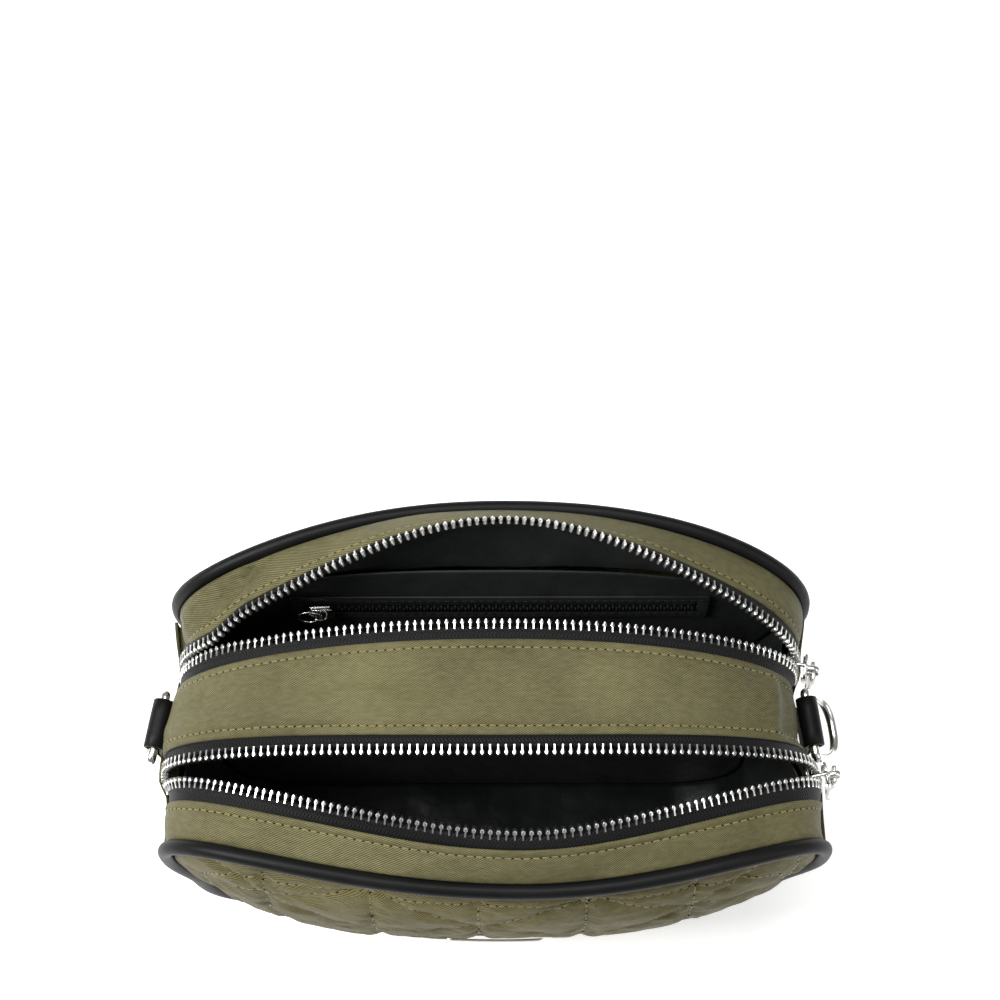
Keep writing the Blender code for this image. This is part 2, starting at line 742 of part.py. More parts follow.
def build_main_pull(frame, word):
    """A flat tab that hangs from the crown by its top bar, which is its hinge."""
    origin = frame @ Vector((0.0, 0.0, CROWN_AXIS * MM))
    down = Vector((math.sin(PULL_REST), 0.0, -math.cos(PULL_REST)))
    across = Vector((0.0, 1.0, 0.0))
    turned = frame_from(origin, down, across, down.cross(across))
    long, wide, thick = PULL_LONG, PULL_HALF_WIDE, PULL_HALF_THICK
    solids = (
        ((-PULL_BAR, -wide, -thick), (long, wide, thick)),
        ((PULL_BAR, -1.7, -2.0 * thick), (PULL_WINDOW, 1.7, 2.0 * thick)),
        ((long - 5.0, -1.4, -2.0 * thick), (long - 2.2, 1.4, 2.0 * thick)),
    )
    combine(word + "_pull", solids, silver_metal(), turned, ("DIFFERENCE", "DIFFERENCE"))


def ring_outline(count):
    """A D: a straight bar through the tab, then a round bow below it."""
    straight = RING_HALF - RING_CORNER
    points = [(straight * share, 0.0) for share in (-1.0, -0.5, 0.0, 0.5, 1.0)]
    for i in range(count):
        turn = math.pi * i / (count - 1)
        across = signed_power(math.cos(turn), 2.0 / RING_BOW_POWER)
        drop = signed_power(math.sin(turn), 2.0 / RING_BOW_POWER)
        points.append((RING_HALF * across, -RING_SHOULDER - (RING_DROP - RING_SHOULDER) * drop))
    return points


def build_ring(word, sign, axis, skew, rest):
    """A ring on its bar's axis, lying a little to the front of its tab."""
    points = []
    for y, drop in ring_outline(15):
        points.append(axis + Vector((-sign * drop * math.sin(rest), y + RING_SLIDE, drop * math.cos(rest))))
    ring = tube(word + "_ring", points, RING_WIRE, 8, silver_metal(), axis)
    ring.rotation_euler.z = skew


def build_tab(word, sign, axis, skew):
    """A strap folded round the ring's bar, with its ends in the side seam."""
    outer, eye = [], []
    steps = 24
    for i in range(steps):
        turn = -0.5 * math.pi + 2.0 * math.pi * (i + 0.5) / steps
        away, up = math.cos(turn), math.sin(turn)
        reach, rise = TAB_LOOP * away, TAB_LOOP * up
        if i == 0:
            reach, rise = TAB_TAIL_OUT, TAB_TAIL
        elif i == steps - 1:
            reach, rise = TAB_TAIL_IN, TAB_TAIL
        outer.append((axis.x + sign * reach, axis.z + rise))
        eye.append((axis.x + sign * TAB_EYE * away, axis.z + TAB_EYE * up))
    low, high = axis.y - TAB_HALF_WIDE, axis.y + TAB_HALF_WIDE
    tab = prism(word + "_ring_tab", outer, eye, low, high, black_piping(), axis)
    tab.rotation_euler.z = skew


def build_strap_ends():
    for word, sign, axis, skew, rest in (("left", -1.0, LEFT_RING_AXIS, LEFT_RING_SKEW, LEFT_RING_REST),
                                         ("right", 1.0, RIGHT_RING_AXIS, RIGHT_RING_SKEW, RIGHT_RING_REST)):
        build_ring(word, sign, axis, skew, rest)
        build_tab(word, sign, axis, skew)


def pocket_frame():
    """Local X runs along the pocket zip, Y up the wall and Z into the compartment."""
    slope = 2.0 * BACK_WALL_LEAN * POCKET_HEIGHT / TOP_HEIGHT ** 2
    up = Vector((0.0, slope, 1.0)).normalized()
    along = Vector((1.0, 0.0, 0.0))
    origin = Vector((POCKET_CENTRE, back_wall_y(POCKET_HEIGHT), POCKET_HEIGHT))
    return frame_from(origin, along, up, along.cross(up))


def build_pocket():
    """A welted opening, its two tapes and its coil, as boxes (low and high corners in mm)."""
    frame = pocket_frame()
    half, rim = POCKET_HALF / MM, POCKET_WELT / MM
    boxes = (
        ("pocket_upper_tape", (0.4 - half, 1.9, 0.5), (half - 0.4, 3.6, 1.0)),
        ("pocket_lower_tape", (0.4 - half, -3.6, 0.5), (half - 0.4, -1.9, 1.0)),
        ("pocket_teeth", (1.0 - half, -1.3, 0.6), (half - 1.0, 1.3, 2.2)),
    )
    welt = (
        ((-half - rim, -2.0 * rim, 0.5), (half + rim, 2.0 * rim, 1.2)),
        ((-half, -rim, -1.0), (half, rim, 3.0)),
    )
    combine("pocket_welt", welt, black_lining(), frame, ("DIFFERENCE",))
    for name, low, high in boxes:
        combine(name, ((low, high),), black_tape(), frame, ())
    build_pocket_bag()
    build_pocket_slider(frame @ Matrix.Translation((POCKET_SLIDER_START, 0.0, 0.0)))


def build_pocket_bag():
    """The pocket's own bag hangs behind the wall, below the pocket zip."""
    def row(x, behind):
        heights = [POCKET_HEIGHT + POCKET_BAG_RISE - POCKET_BAG_STEP * j for j in range(6)]
        return [Vector((x, back_wall_y(z) + behind, z)) for z in heights]

    reach, near = POCKET_HALF + POCKET_WELT, LINING + GAP
    slab("pocket_bag", (POCKET_CENTRE - reach, POCKET_CENTRE + reach),
         lambda x: row(x, near), lambda x: row(x, near + POCKET_BAG_THICK), black_lining())


def build_pocket_slider(frame):
    """A hollow body over the coil with an arched crown, and a ring through the crown."""
    solids = (
        ((-4.0, -3.2, 1.5), (4.0, 3.2, 3.6)),
        ((-5.0, -1.8, 1.0), (5.0, 1.8, 2.7)),
        ((-2.3, -0.8, 3.4), (2.3, 0.8, 6.4)),
        ((-1.3, -2.0, 3.8), (1.3, 2.0, 5.6)),
    )
    combine("pocket_slider", solids, silver_metal(), frame, ("DIFFERENCE", "UNION", "DIFFERENCE"))
    points = []
    for i in range(20):
        turn = 2.0 * math.pi * i / 20.0
        reach, swing = POCKET_PULL_RADIUS * (math.cos(turn) - 1.0), POCKET_PULL_RADIUS * math.sin(turn)
        points.append(frame @ Vector((reach, swing, POCKET_PULL_LIFT)))
    axis = frame @ Vector((0.0, 0.0, POCKET_PULL_LIFT))
    tube("pocket_pull", points, POCKET_PULL_WIRE, 6, silver_metal(), axis)


def build_plate():
    """A thin blank plate that lies on the front of the belly, curved with it."""
    def point(x, z, height):
        share = math.hypot(x / HALF_WIDTH, (z - BELLY_HEIGHT) / (TOP_HEIGHT - BELLY_HEIGHT))
        depth = wall_depth(FRONT, x, z) - FRONT_BELLY * (1.0 - share ** BELLY_POWER) - height
        return Vector((x, depth, z - wall_sag(FRONT, x, z)))

    def row(i, height):
        x = PLATE_HALF_WIDE * (2.0 * i / (PLATE_COLUMNS - 1) - 1.0)
        zs = [PLATE_HEIGHT + PLATE_HALF_HIGH * (2.0 * j / 4 - 1.0) for j in range(5)]
        return [point(x, z, height) for z in zs]

    columns = range(PLATE_COLUMNS)
    slab("name_plate", columns, lambda i: row(i, PLATE_HIGH), lambda i: row(i, PLATE_LOW), silver_metal())


# ---------------------------------------------------------------- main

def main():
    clear_scene()
    build_walls()
    build_piping()
    build_top_strips()
    build_zips()
    build_lower_body()
    build_base_board()
    build_inner_walls()
    build_end_covers()
    for side, word in ((FRONT, "front"), (BACK, "back")):
        build_main_slider(side, word)
    build_strap_ends()
    build_pocket()
    build_plate()


main()
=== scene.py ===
import math

import bmesh
import bpy
import numpy as np
from mathutils import Matrix, Vector, noise


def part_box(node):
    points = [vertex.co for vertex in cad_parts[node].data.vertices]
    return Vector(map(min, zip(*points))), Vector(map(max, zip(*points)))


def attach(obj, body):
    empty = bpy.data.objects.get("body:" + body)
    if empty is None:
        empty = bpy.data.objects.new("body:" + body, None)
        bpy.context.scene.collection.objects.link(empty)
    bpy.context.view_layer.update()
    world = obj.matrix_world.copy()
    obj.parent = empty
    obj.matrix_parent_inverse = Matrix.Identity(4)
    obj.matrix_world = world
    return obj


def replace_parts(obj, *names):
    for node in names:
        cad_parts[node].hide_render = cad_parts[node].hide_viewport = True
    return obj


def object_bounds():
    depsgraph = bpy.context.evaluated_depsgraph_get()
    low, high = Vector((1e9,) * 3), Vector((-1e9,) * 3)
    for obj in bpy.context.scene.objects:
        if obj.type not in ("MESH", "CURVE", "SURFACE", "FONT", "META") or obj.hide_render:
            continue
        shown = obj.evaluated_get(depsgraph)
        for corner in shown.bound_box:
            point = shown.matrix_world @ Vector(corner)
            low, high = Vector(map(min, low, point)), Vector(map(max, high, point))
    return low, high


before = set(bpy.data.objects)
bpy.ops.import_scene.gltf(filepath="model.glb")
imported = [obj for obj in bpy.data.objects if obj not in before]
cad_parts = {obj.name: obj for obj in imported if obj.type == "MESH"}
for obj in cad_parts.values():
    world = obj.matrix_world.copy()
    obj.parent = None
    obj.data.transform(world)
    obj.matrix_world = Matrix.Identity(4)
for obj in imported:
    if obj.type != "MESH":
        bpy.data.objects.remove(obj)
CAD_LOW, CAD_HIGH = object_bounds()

MM = 0.001
FRONT, BACK = -1, 1
BAG = "bag"

# The sewn shape, in the CAD part's own measures. Each wall is a superellipse in X and Z that bows out in Y.
HALF_WIDTH, TOP_HEIGHT, WIDEST_HEIGHT, SEAM_HEIGHT = 107.0 * MM, 134.0 * MM, 83.0 * MM, 86.0 * MM
BASE_DIP = 3.0 * MM
SIDE_TAPER, TAPER_HEIGHT, BASE_SHIFT, SLACK_HEIGHT = 0.07, 50.0 * MM, -2.5 * MM, 80.0 * MM
RIGHT_FRONT_PUSH, RIGHT_MIDDLE_PULL = 0.5 * MM, 4.5 * MM
RIGHT_BACK_PULL, RIGHT_TAB_DENT = 2.2 * MM, 2.8 * MM
LEFT_MIDDLE_PULL, LEFT_FRONT_PUSH = 1.8 * MM, 3.0 * MM
BOTTOM_POWER, MIDDLE_POWER, FRONT_POWER, BACK_POWER = 5.0, 2.55, 3.0, 2.8
FRONT_SEAM, BACK_SEAM, FRONT_LEAN, BACK_LEAN = 44.7 * MM, 38.5 * MM, 17.5 * MM, 23.8 * MM
FRONT_SAG, BACK_SAG, FRONT_SKEW, BACK_SKEW = 14.0 * MM, 8.5 * MM, 9.0 * MM, 3.0 * MM
FRONT_TILT, BACK_TILT = math.radians(44.0), math.radians(62.0)
BELLY_HEIGHT, FRONT_BELLY, BACK_BELLY = 62.0 * MM, 18.0 * MM, 8.0 * MM
PIPING_RADIUS, STRIP_WIDTH, MIDDLE_HALF = 2.5 * MM, 15.0 * MM, 15.5 * MM
MIDDLE_FRONT_NARROWING, MIDDLE_BACK_NARROWING = 3.0 * MM, 5.8 * MM
GAP, LIP_TAPE, MIDDLE_TAPE, TEETH_WIDE = 0.4 * MM, 4.2 * MM, 3.2 * MM, 2.8 * MM
ROW_SPACING_RIGHT, ROW_SPACING_LEFT = 4.9 * MM, 3.4 * MM
CLOSED_HEIGHT_RIGHT, CLOSED_HEIGHT_FRONT_LEFT, CLOSED_HEIGHT_BACK_LEFT = 95.5 * MM, 88.0 * MM, 116.0 * MM
CLOSING_RUN, BACK_LEFT_LIP_SHARE = 9.0 * MM, 0.8
COVER_TOP, COVER_FOOT = 85.4 * MM, 76.0 * MM
SLIDER_HEIGHT, SLIDER_HALF_GAP, SLIDER_PLATE = 93.5 * MM, 2.6 * MM, 1.0 * MM
CROWN_AXIS, PULL_REST = SLIDER_HALF_GAP + SLIDER_PLATE + 2.1 * MM, math.radians(3.0)
LEFT_RING_AXIS, RIGHT_RING_AXIS = Vector((-111.5, -1.6, 91.0)) * MM, Vector((105.1, -1.2, 91.0)) * MM
RING_HALF, RING_DROP, RING_WIRE, RING_SLIDE = 11.3 * MM, 15.8 * MM, 1.6 * MM, -0.8 * MM
RING_SHOULDER, RING_CORNER, RING_BOW_POWER = 2.2 * MM, 1.2 * MM, 2.6
LEFT_RING_REST, RIGHT_RING_REST = math.radians(15.0), math.radians(37.0)
LEFT_RING_SKEW, RIGHT_RING_SKEW = math.radians(-9.5), math.radians(7.0)
POCKET_CENTRE, POCKET_HALF, POCKET_HEIGHT = 2.0 * MM, 66.0 * MM, 98.0 * MM
BACK_WALL_START, BACK_WALL_LEAN = 32.0 * MM, 11.0 * MM
PLATE_HALF_WIDE, PLATE_HALF_HIGH, PLATE_HEIGHT = 16.0 * MM, 5.5 * MM, 61.0 * MM

# Stitching, quilting and the teeth
TOOTH_PITCH = 2.5 * MM
STITCH_PITCH, STITCH_LONG, THREAD_RADIUS = 2.9 * MM, 2.15 * MM, 0.34 * MM
# Size of the dark blobs between stitches: painted shade standing for the shadow in the needle holes.
HOLE_SHADE_HALF_LONG, HOLE_SHADE_FLATTEN = 0.52 * MM, 0.6
EDGE_STITCH, BORDER_SEAM, BACK_BORDER_SEAM = 2.7 * MM, 5.5 * MM, 3.0 * MM
RIM_REACH = 60.0 * MM
QUILT_PITCH, QUILT_CENTRE_X, QUILT_NODE_Z = 34.0 * MM, -5.0 * MM, 107.0 * MM
QUILT_ANGLES = (90.0, 30.0, -30.0)
QUILT_DIRECTIONS = tuple((math.cos(math.radians(a)), math.sin(math.radians(a))) for a in QUILT_ANGLES)

# Thicknesses and depths of the cloth, the zips and the lining
COVER_THICK, GUSSET_THICK, LINING_THICK, BAND_THICK = 2.2 * MM, 3.4 * MM, 0.6 * MM, 0.7 * MM
SEAM_DENT, TEETH_DEPTH, BEAD_RADIUS, BEAD_CLASP = -0.2 * MM, -0.6 * MM, 0.6 * MM, 0.15 * MM
SHEET_FRONT_Y, SHEET_BACK_Y, BAND_FRONT_Y, LINING_INSET = -3.3 * MM, 2.6 * MM, -2.6 * MM, 5.6 * MM

# Sections, each a list of (across, height) in millimetres
LIP_PROFILE = ((2.3, -0.9), (2.9, -0.35), (3.6, 0.05), (5.0, 0.3), (7.0, 0.5), (9.0, 0.5), (10.8, 0.3),
               (11.7, 0.1), (12.1, -0.12), (12.3, -0.2), (12.5, -0.12), (12.9, 0.12), (13.6, 0.26),
               (14.3, 0.2), (14.8, -0.05), (15.05, -0.45), (14.9, -0.85), (14.4, -1.1), (11.0, -1.2),
               (7.0, -1.2), (3.0, -1.2))
MIDDLE_EDGE = ((-0.02, -0.85), (-0.05, -0.45), (0.18, -0.05), (0.7, 0.2), (1.5, 0.26), (2.2, 0.1),
               (2.5, -0.12), (2.7, -0.2), (2.9, -0.12), (3.3, 0.1), (4.5, 0.2), (7.0, 0.3))
MIDDLE_EDGE_WIDE, MIDDLE_FLAT, MIDDLE_UNDER = 7.0 * MM, 0.3, -1.3 * MM
TOOTH_OUTLINE = ((-0.36, -1.8), (-0.32, 0.1), (-0.74, 0.45), (-0.72, 1.0), (-0.38, 1.55), (0.0, 1.8),
                 (0.38, 1.55), (0.72, 1.0), (0.74, 0.45), (0.32, 0.1), (0.36, -1.8))
TOOTH_LAYERS = ((0.20, -1.2), (0.0, -0.95), (0.0, 0.62), (0.14, 0.88), (0.34, 1.0))
SLIDER_HALF = ((5.6, 0.9), (5.5, 2.6), (5.0, 3.7), (4.0, 4.2), (2.0, 4.25), (-1.0, 3.9), (-3.5, 3.5),
               (-5.0, 3.2), (-5.6, 2.4), (-5.8, 1.0))
SLIDER_RAIL = ((3.8, 3.7), (1.0, 3.7), (-2.0, 3.3), (-5.0, 2.9))
PULL_HALF = ((-0.75, 2.4), (-0.55, 3.0), (0.2, 3.2), (5.6, 3.2), (7.2, 2.7), (8.6, 2.0), (11.0, 1.9),
             (16.0, 2.3), (21.0, 2.9), (25.0, 3.2), (26.4, 2.7), (27.0, 1.6))
POCKET_TAPE = ((1.3, 0.95), (2.2, 1.15), (3.8, 1.1), (3.8, 0.6), (1.3, 0.55))

# The tab's section as shares of its half width and thickness, and its line as (out, up, slimness)
TAB_SECTION = ((-0.97, -0.5), (0.97, -0.5), (1.0, -0.25), (1.0, 0.25), (0.97, 0.5), (0.5, 0.54), (0.0, 0.55),
               (-0.5, 0.54), (-0.97, 0.5), (-1.0, 0.25), (-1.0, -0.25))
TAB_INNER_TAIL = ((-1.45, -16.0, 0.56), (-1.4, -12.0, 0.56), (-1.3, -9.0, 0.6), (-1.4, -6.0, 0.75),
                  (-1.75, -3.7, 0.95))
TAB_OUTER_TAIL = ((1.45, -3.7, 0.95), (0.55, -6.0, 0.75), (0.0, -9.0, 0.6), (-0.4, -12.0, 0.56),
                  (-0.6, -16.0, 0.56))
TAB_HALF_WIDE, TAB_THICK, TAB_EYE = 8.3, 1.3, 2.85
PLATE_SECTION = ((-1.0, 0.5), (-1.0, 1.0), (-0.94, 1.3), (-0.5, 1.34), (0.0, 1.35), (0.5, 1.34), (0.94, 1.3),
                 (1.0, 1.0), (1.0, 0.5), (0.0, 0.4))
PLATE_FOOT, PLATE_COLUMNS = 0.4, 25

# The deep fold at the back strip's left end: its valley runs from x to x at these places across the strip
FOLD_X = (-104.0 * MM, -102.0 * MM, -93.0 * MM, -86.0 * MM, -82.0 * MM, -77.0 * MM)
FOLD_ACROSS = (13.4 * MM, 12.2 * MM, 10.0 * MM, 8.6 * MM, 6.8 * MM, 3.6 * MM)
FOLD_VALLEY, FOLD_RIDGE = 4.6 * MM, 2.0 * MM

# Lamps: name, place, size along X, size along Y, power
LAMPS = (("key", (-0.80, -0.10, 1.05), 0.45, 0.6, 20.0),
         ("over", (-0.05, 0.25, 1.35), 0.8, 0.5, 9.5),
         ("right", (0.85, -0.35, 0.75), 0.5, 0.8, 3.5))
LAMP_AIM = Vector((0.0, 0.0, 0.08))


# ------------------------------------------------------------------- camera

def build_camera():
    """A view from high above the bag, with its front at the bottom."""
    elevation, yaw = math.radians(70.03), math.radians(0.12)
    distance, focal, across, low = 0.65489, 2087.86, -6.1, 186.03
    level = math.cos(elevation)
    forward = Vector((math.sin(yaw) * level, math.cos(yaw) * level, -math.sin(elevation)))
    right = Vector((math.cos(yaw), -math.sin(yaw), 0.0))
    down = forward.cross(right)
    target = Vector((0.0, 0.0, 0.13399))
    place_at = target - distance * (forward + right * across / focal + down * low / focal)
    camera = bpy.data.objects.new("camera", bpy.data.cameras.new("camera"))
    camera.data.sensor_width = 36.0
    camera.data.lens = 36.0 * focal / 1000.0
    camera.data.clip_start = 0.02
    turn = Matrix((right, -down, -forward)).transposed().to_4x4()
    camera.matrix_world = Matrix.Translation(place_at) @ turn
    bpy.context.scene.collection.objects.link(camera)
    bpy.context.scene.camera = camera


# ---------------------------------------------------------------- materials

class Shader:
    """A Principled material with small helpers for its nodes."""

    def __init__(self, name, **plain):
        self.made = bpy.data.materials.new(name)
        self.made.use_nodes = True
        self.tree = self.made.node_tree
        self.surface = self.tree.nodes["Principled BSDF"]
        for socket, value in plain.items():
            target = self.surface.inputs[socket.replace("_", " ")]
            target.default_value = (*value, 1.0) if isinstance(value, tuple) and len(value) == 3 else value

    def link(self, value, socket):
        if isinstance(value, bpy.types.NodeSocket):
            self.tree.links.new(value, socket)
        else:
            socket.default_value = value

    def node(self, kind, inputs=(), output=0, **settings):
        made = self.tree.nodes.new("ShaderNode" + kind)
        for key, value in settings.items():
            setattr(made, key, value)
        for key, value in dict(inputs).items():
            self.link(value, made.inputs[key])
        return made.outputs[output]

    def math(self, operation, a, b=0.0, c=0.0):
        return self.node("Math", {0: a, 1: b, 2: c}, operation=operation)

    def noise(self, vector, scale, detail=2.0, rough=0.5, stretch=None):
        if stretch is not None:
            vector = self.node("Mapping", {"Vector": vector, "Scale": stretch})
        inputs = {"Vector": vector, "Scale": scale, "Detail": detail, "Roughness": rough}
        return self.node("TexNoise", inputs)

    def ramp(self, factor, stops):
        out = self.node("ValToRGB", {"Fac": factor})
        ramp = out.node.color_ramp
        for index, (place_at, colour) in enumerate(stops):
            stop = ramp.elements[index] if index < 2 else ramp.elements.new(place_at)
            stop.position = place_at
            stop.color = (*colour, 1.0)
        return out

    def mix(self, factor, a, b, blend="MIX"):
        made = self.tree.nodes.new("ShaderNodeMix")
        made.data_type = "RGBA"
        made.blend_type = blend
        self.link(factor, made.inputs[0])
        self.link(a if not isinstance(a, tuple) else (*a, 1.0), made.inputs[6])
        self.link(b if not isinstance(b, tuple) else (*b, 1.0), made.inputs[7])
        return made.outputs[2]

    def bump(self, height, distance, strength=1.0, under=None):
        inputs = {"Height": height, "Distance": distance, "Strength": strength}
        if under is not None:
            inputs["Normal"] = under
        return self.node("Bump", inputs)

    def cloth(self):
        return self.node("Attribute", output=1, attribute_name="cloth")

    def world(self):
        return self.node("TexCoord", output=3)

    def finish(self, colour=None, roughness=None, normal=None):
        for value, socket in ((colour, "Base Color"), (roughness, "Roughness"), (normal, "Normal")):
            if value is not None:
                self.tree.links.new(value, self.surface.inputs[socket])
        return self.made


def stripes(shader, cloth, direction, period):
    """A smooth wave from 0 to 1 along a direction of the cloth's own coordinates."""
    along = shader.node("VectorMath", {0: cloth, 1: direction}, output=1, operation="DOT_PRODUCT")
    turned = shader.math("MULTIPLY", along, 2.0 * math.pi / period)
    return shader.math("MULTIPLY_ADD", shader.math("SINE", turned), 0.5, 0.5)


def twill_material(name, dark, light, slack, shine):
    """Fine nylon twill: diagonal ribs, crossing yarns, soft creases and uneven dye."""
    shader = Shader(name, Sheen_Weight=0.03, Sheen_Roughness=0.4, Specular_IOR_Level=shine)
    cloth, world = shader.cloth(), shader.world()
    ribs = stripes(shader, cloth, (0.53, -0.85, 0.0), 0.60 * MM)
    yarns = stripes(shader, cloth, (0.30, 0.95, 0.0), 0.41 * MM)
    weave = shader.math("MULTIPLY_ADD", yarns, 0.35, ribs)
    patches = shader.noise(world, 16.0, 3.0, 0.6)
    fibres = shader.noise(cloth, 800.0, 2.0, 0.65, (0.4, 1.0, 1.0))
    tone = shader.math("MULTIPLY_ADD", fibres, 0.45, shader.math("MULTIPLY", patches, 0.75))
    colour = shader.ramp(tone, ((0.38, dark), (0.86, light)))
    shade = shader.ramp(ribs, ((0.1, (0.46, 0.46, 0.44)), (0.9, (1.46, 1.45, 1.42))))
    colour = shader.mix(1.0, colour, shade, "MULTIPLY")
    creases = shader.noise(world, 34.0, 3.0, 0.55, (1.0, 1.6, 0.8))
    crumple = shader.noise(world, 110.0, 3.0, 0.6)
    normal = shader.bump(creases, 3.4 * MM, 0.8 * slack)
    normal = shader.bump(crumple, 0.6 * MM, 0.7 * slack, normal)
    normal = shader.bump(weave, 0.09 * MM, 1.0, normal)
    rough = shader.math("MULTIPLY_ADD", patches, 0.22, 0.46)
    return shader.finish(colour, rough, normal)


def piping_material(name, base=0.0040):
    """Smooth coated fabric with a soft shine."""
    shader = Shader(name, Specular_IOR_Level=0.14)
    world = shader.world()
    grain = shader.noise(world, 1500.0, 3.0, 0.6)
    worn = shader.noise(world, 60.0, 3.0)
    dark, light = (base * 0.8, base * 0.85, base * 0.85), (base * 1.35, base * 1.4, base * 1.4)
    colour = shader.ramp(worn, ((0.3, dark), (0.75, light)))
    rough = shader.math("MULTIPLY_ADD", grain, 0.16, 0.40)
    normal = shader.bump(grain, 0.05 * MM, 0.7, shader.bump(worn, 0.8 * MM, 0.5))
    return shader.finish(colour, rough, normal)


def tape_material():
    """Zip tape: a herringbone of fine black yarns."""
    shader = Shader("zip_tape_weave", Sheen_Weight=0.02, Sheen_Roughness=0.5, Specular_IOR_Level=0.1)
    cloth = shader.cloth()
    left = stripes(shader, cloth, (0.8, 0.6, 0.0), 0.95 * MM)
    right = stripes(shader, cloth, (0.8, -0.6, 0.0), 0.95 * MM)
    band = shader.math("GREATER_THAN", stripes(shader, cloth, (0.0, 1.0, 0.0), 2.4 * MM), 0.5)
    weave = shader.mix(band, left, right)
    fuzz = shader.noise(cloth, 1700.0, 2.0, 0.7)
    tone = shader.math("MULTIPLY_ADD", fuzz, 0.6, shader.math("MULTIPLY", weave, 0.5))
    colour = shader.ramp(tone, ((0.30, (0.0018, 0.0018, 0.0019)), (1.0, (0.013, 0.0133, 0.0136))))
    return shader.finish(colour, None, shader.bump(tone, 0.22 * MM, 1.0))


def lining_material():
    """Thin black satin with loose folds."""
    shader = Shader("satin_lining", Sheen_Weight=0.02, Specular_IOR_Level=0.26)
    world = shader.world()
    folds = shader.noise(world, 22.0, 3.0, 0.55, (1.0, 1.0, 0.45))
    fine = shader.noise(world, 85.0, 3.0, 0.6)
    yarn = shader.noise(world, 2400.0, 1.0)
    colour = shader.ramp(fine, ((0.3, (0.0080, 0.0098, 0.0092)), (0.75, (0.0150, 0.0180, 0.0170))))
    normal = shader.bump(folds, 5.0 * MM, 0.8)
    normal = shader.bump(fine, 0.9 * MM, 0.6, normal)
    normal = shader.bump(yarn, 0.04 * MM, 0.6, normal)
    rough = shader.math("MULTIPLY_ADD", fine, 0.25, 0.30)
    return shader.finish(colour, rough, normal)


def metal_material(name, light, dark, rough_low):
    """Plated zinc: polished, with faint cloudiness and fine scratches."""
    shader = Shader(name, Metallic=1.0)
    world = shader.world()
    cloud = shader.noise(world, 240.0, 3.0)
    lines = shader.noise(world, 900.0, 2.0, 0.6, (1.0, 0.12, 1.0))
    colour = shader.ramp(cloud, ((0.3, dark), (0.7, light)))
    rough = shader.math("MULTIPLY_ADD", lines, 0.16, rough_low)
    return shader.finish(colour, rough, shader.bump(lines, 0.03 * MM, 0.5))


def thread_material():
    """Twisted sewing thread."""
    shader = Shader("olive_thread", Sheen_Weight=0.2, Sheen_Roughness=0.4)
    world = shader.world()
    twist = shader.noise(world, 2600.0, 1.0)
    colour = shader.ramp(twist, ((0.3, (0.10, 0.085, 0.020)), (0.75, (0.24, 0.205, 0.062))))
    rough = shader.math("MULTIPLY_ADD", twist, 0.2, 0.45)
    return shader.finish(colour, rough, shader.bump(twist, 0.06 * MM, 0.8))


def plain_material(name, low, high, scale, rough, bump):
    """A matt surface with fine specks; scale is how fine, bump how deep they are."""
    shader = Shader(name, Roughness=rough, Specular_IOR_Level=0.12)
    speck = shader.noise(shader.world(), scale, 3.0, 0.6)
    return shader.finish(shader.ramp(speck, ((0.3, low), (0.7, high))), None, shader.bump(speck, bump, 0.7))


OLIVE = twill_material("olive_twill", (0.058, 0.053, 0.023), (0.154, 0.142, 0.069), 1.25, 0.16)
OLIVE_TAUT = twill_material("olive_twill_padded", (0.060, 0.053, 0.020), (0.162, 0.142, 0.066), 1.0, 0.10)
PIPING = piping_material("coated_piping")
TAB = piping_material("coated_strap", 0.0036)
TAPE = tape_material()
LINING = lining_material()
SILVER = metal_material("plated_silver", (0.86, 0.85, 0.82), (0.62, 0.61, 0.58), 0.14)
TEETH = metal_material("bright_teeth", (0.72, 0.72, 0.70), (0.52, 0.52, 0.50), 0.22)
PLATE = metal_material("brushed_plate", (0.70, 0.67, 0.58), (0.52, 0.49, 0.42), 0.24)
THREAD = thread_material()
# Painted shade: near-black blobs between the stitches stand for the shadow in the needle holes.
NEEDLE_HOLE_SHADE = plain_material("needle_hole_painted_shade", (0.004, 0.004, 0.002), (0.009, 0.008, 0.004), 900.0, 0.9, 0.02 * MM)
BLACK_THREAD = plain_material("black_thread", (0.004, 0.004, 0.004), (0.014, 0.014, 0.014), 1800.0, 0.6,
                              0.05 * MM)
BOARD = plain_material("pressed_board", (0.15, 0.14, 0.12), (0.25, 0.23, 0.20), 420.0, 0.85, 0.12 * MM)


# ------------------------------------------------------------- body shape

def signed_power(value, power):
    return math.copysign(abs(value) ** power, value)


def outline_point(angle, top_power):
    """A wall's outline at an angle from its right side: round at the top, squarer at the base."""
    upper = math.sin(angle) >= 0.0
    exponent = 2.0 / (top_power if upper else BOTTOM_POWER)
    rise = TOP_HEIGHT - WIDEST_HEIGHT if upper else WIDEST_HEIGHT + BASE_DIP
    z = WIDEST_HEIGHT + rise * signed_power(math.sin(angle), exponent)
    lower = smooth(WIDEST_HEIGHT, TAPER_HEIGHT, z)
    half_width = HALF_WIDTH * (1.0 - SIDE_TAPER * lower)
    x = half_width * signed_power(math.cos(angle), exponent) + BASE_SHIFT * lower
    return x, max(z, 0.0)


def outline_angle(top_power, height=SEAM_HEIGHT):
    """The angle at which the outline's right side passes a height."""
    if height < WIDEST_HEIGHT:
        share = (WIDEST_HEIGHT - height) / (WIDEST_HEIGHT + BASE_DIP)
        return -math.asin(share ** (BOTTOM_POWER / 2.0))
    share = (height - WIDEST_HEIGHT) / (TOP_HEIGHT - WIDEST_HEIGHT)
    return math.asin(share ** (top_power / 2.0))


def crowd(turn):
    """Draws evenly spread angles closer to the sides, top and base."""
    return turn - 0.24 * np.sin(4.0 * turn)


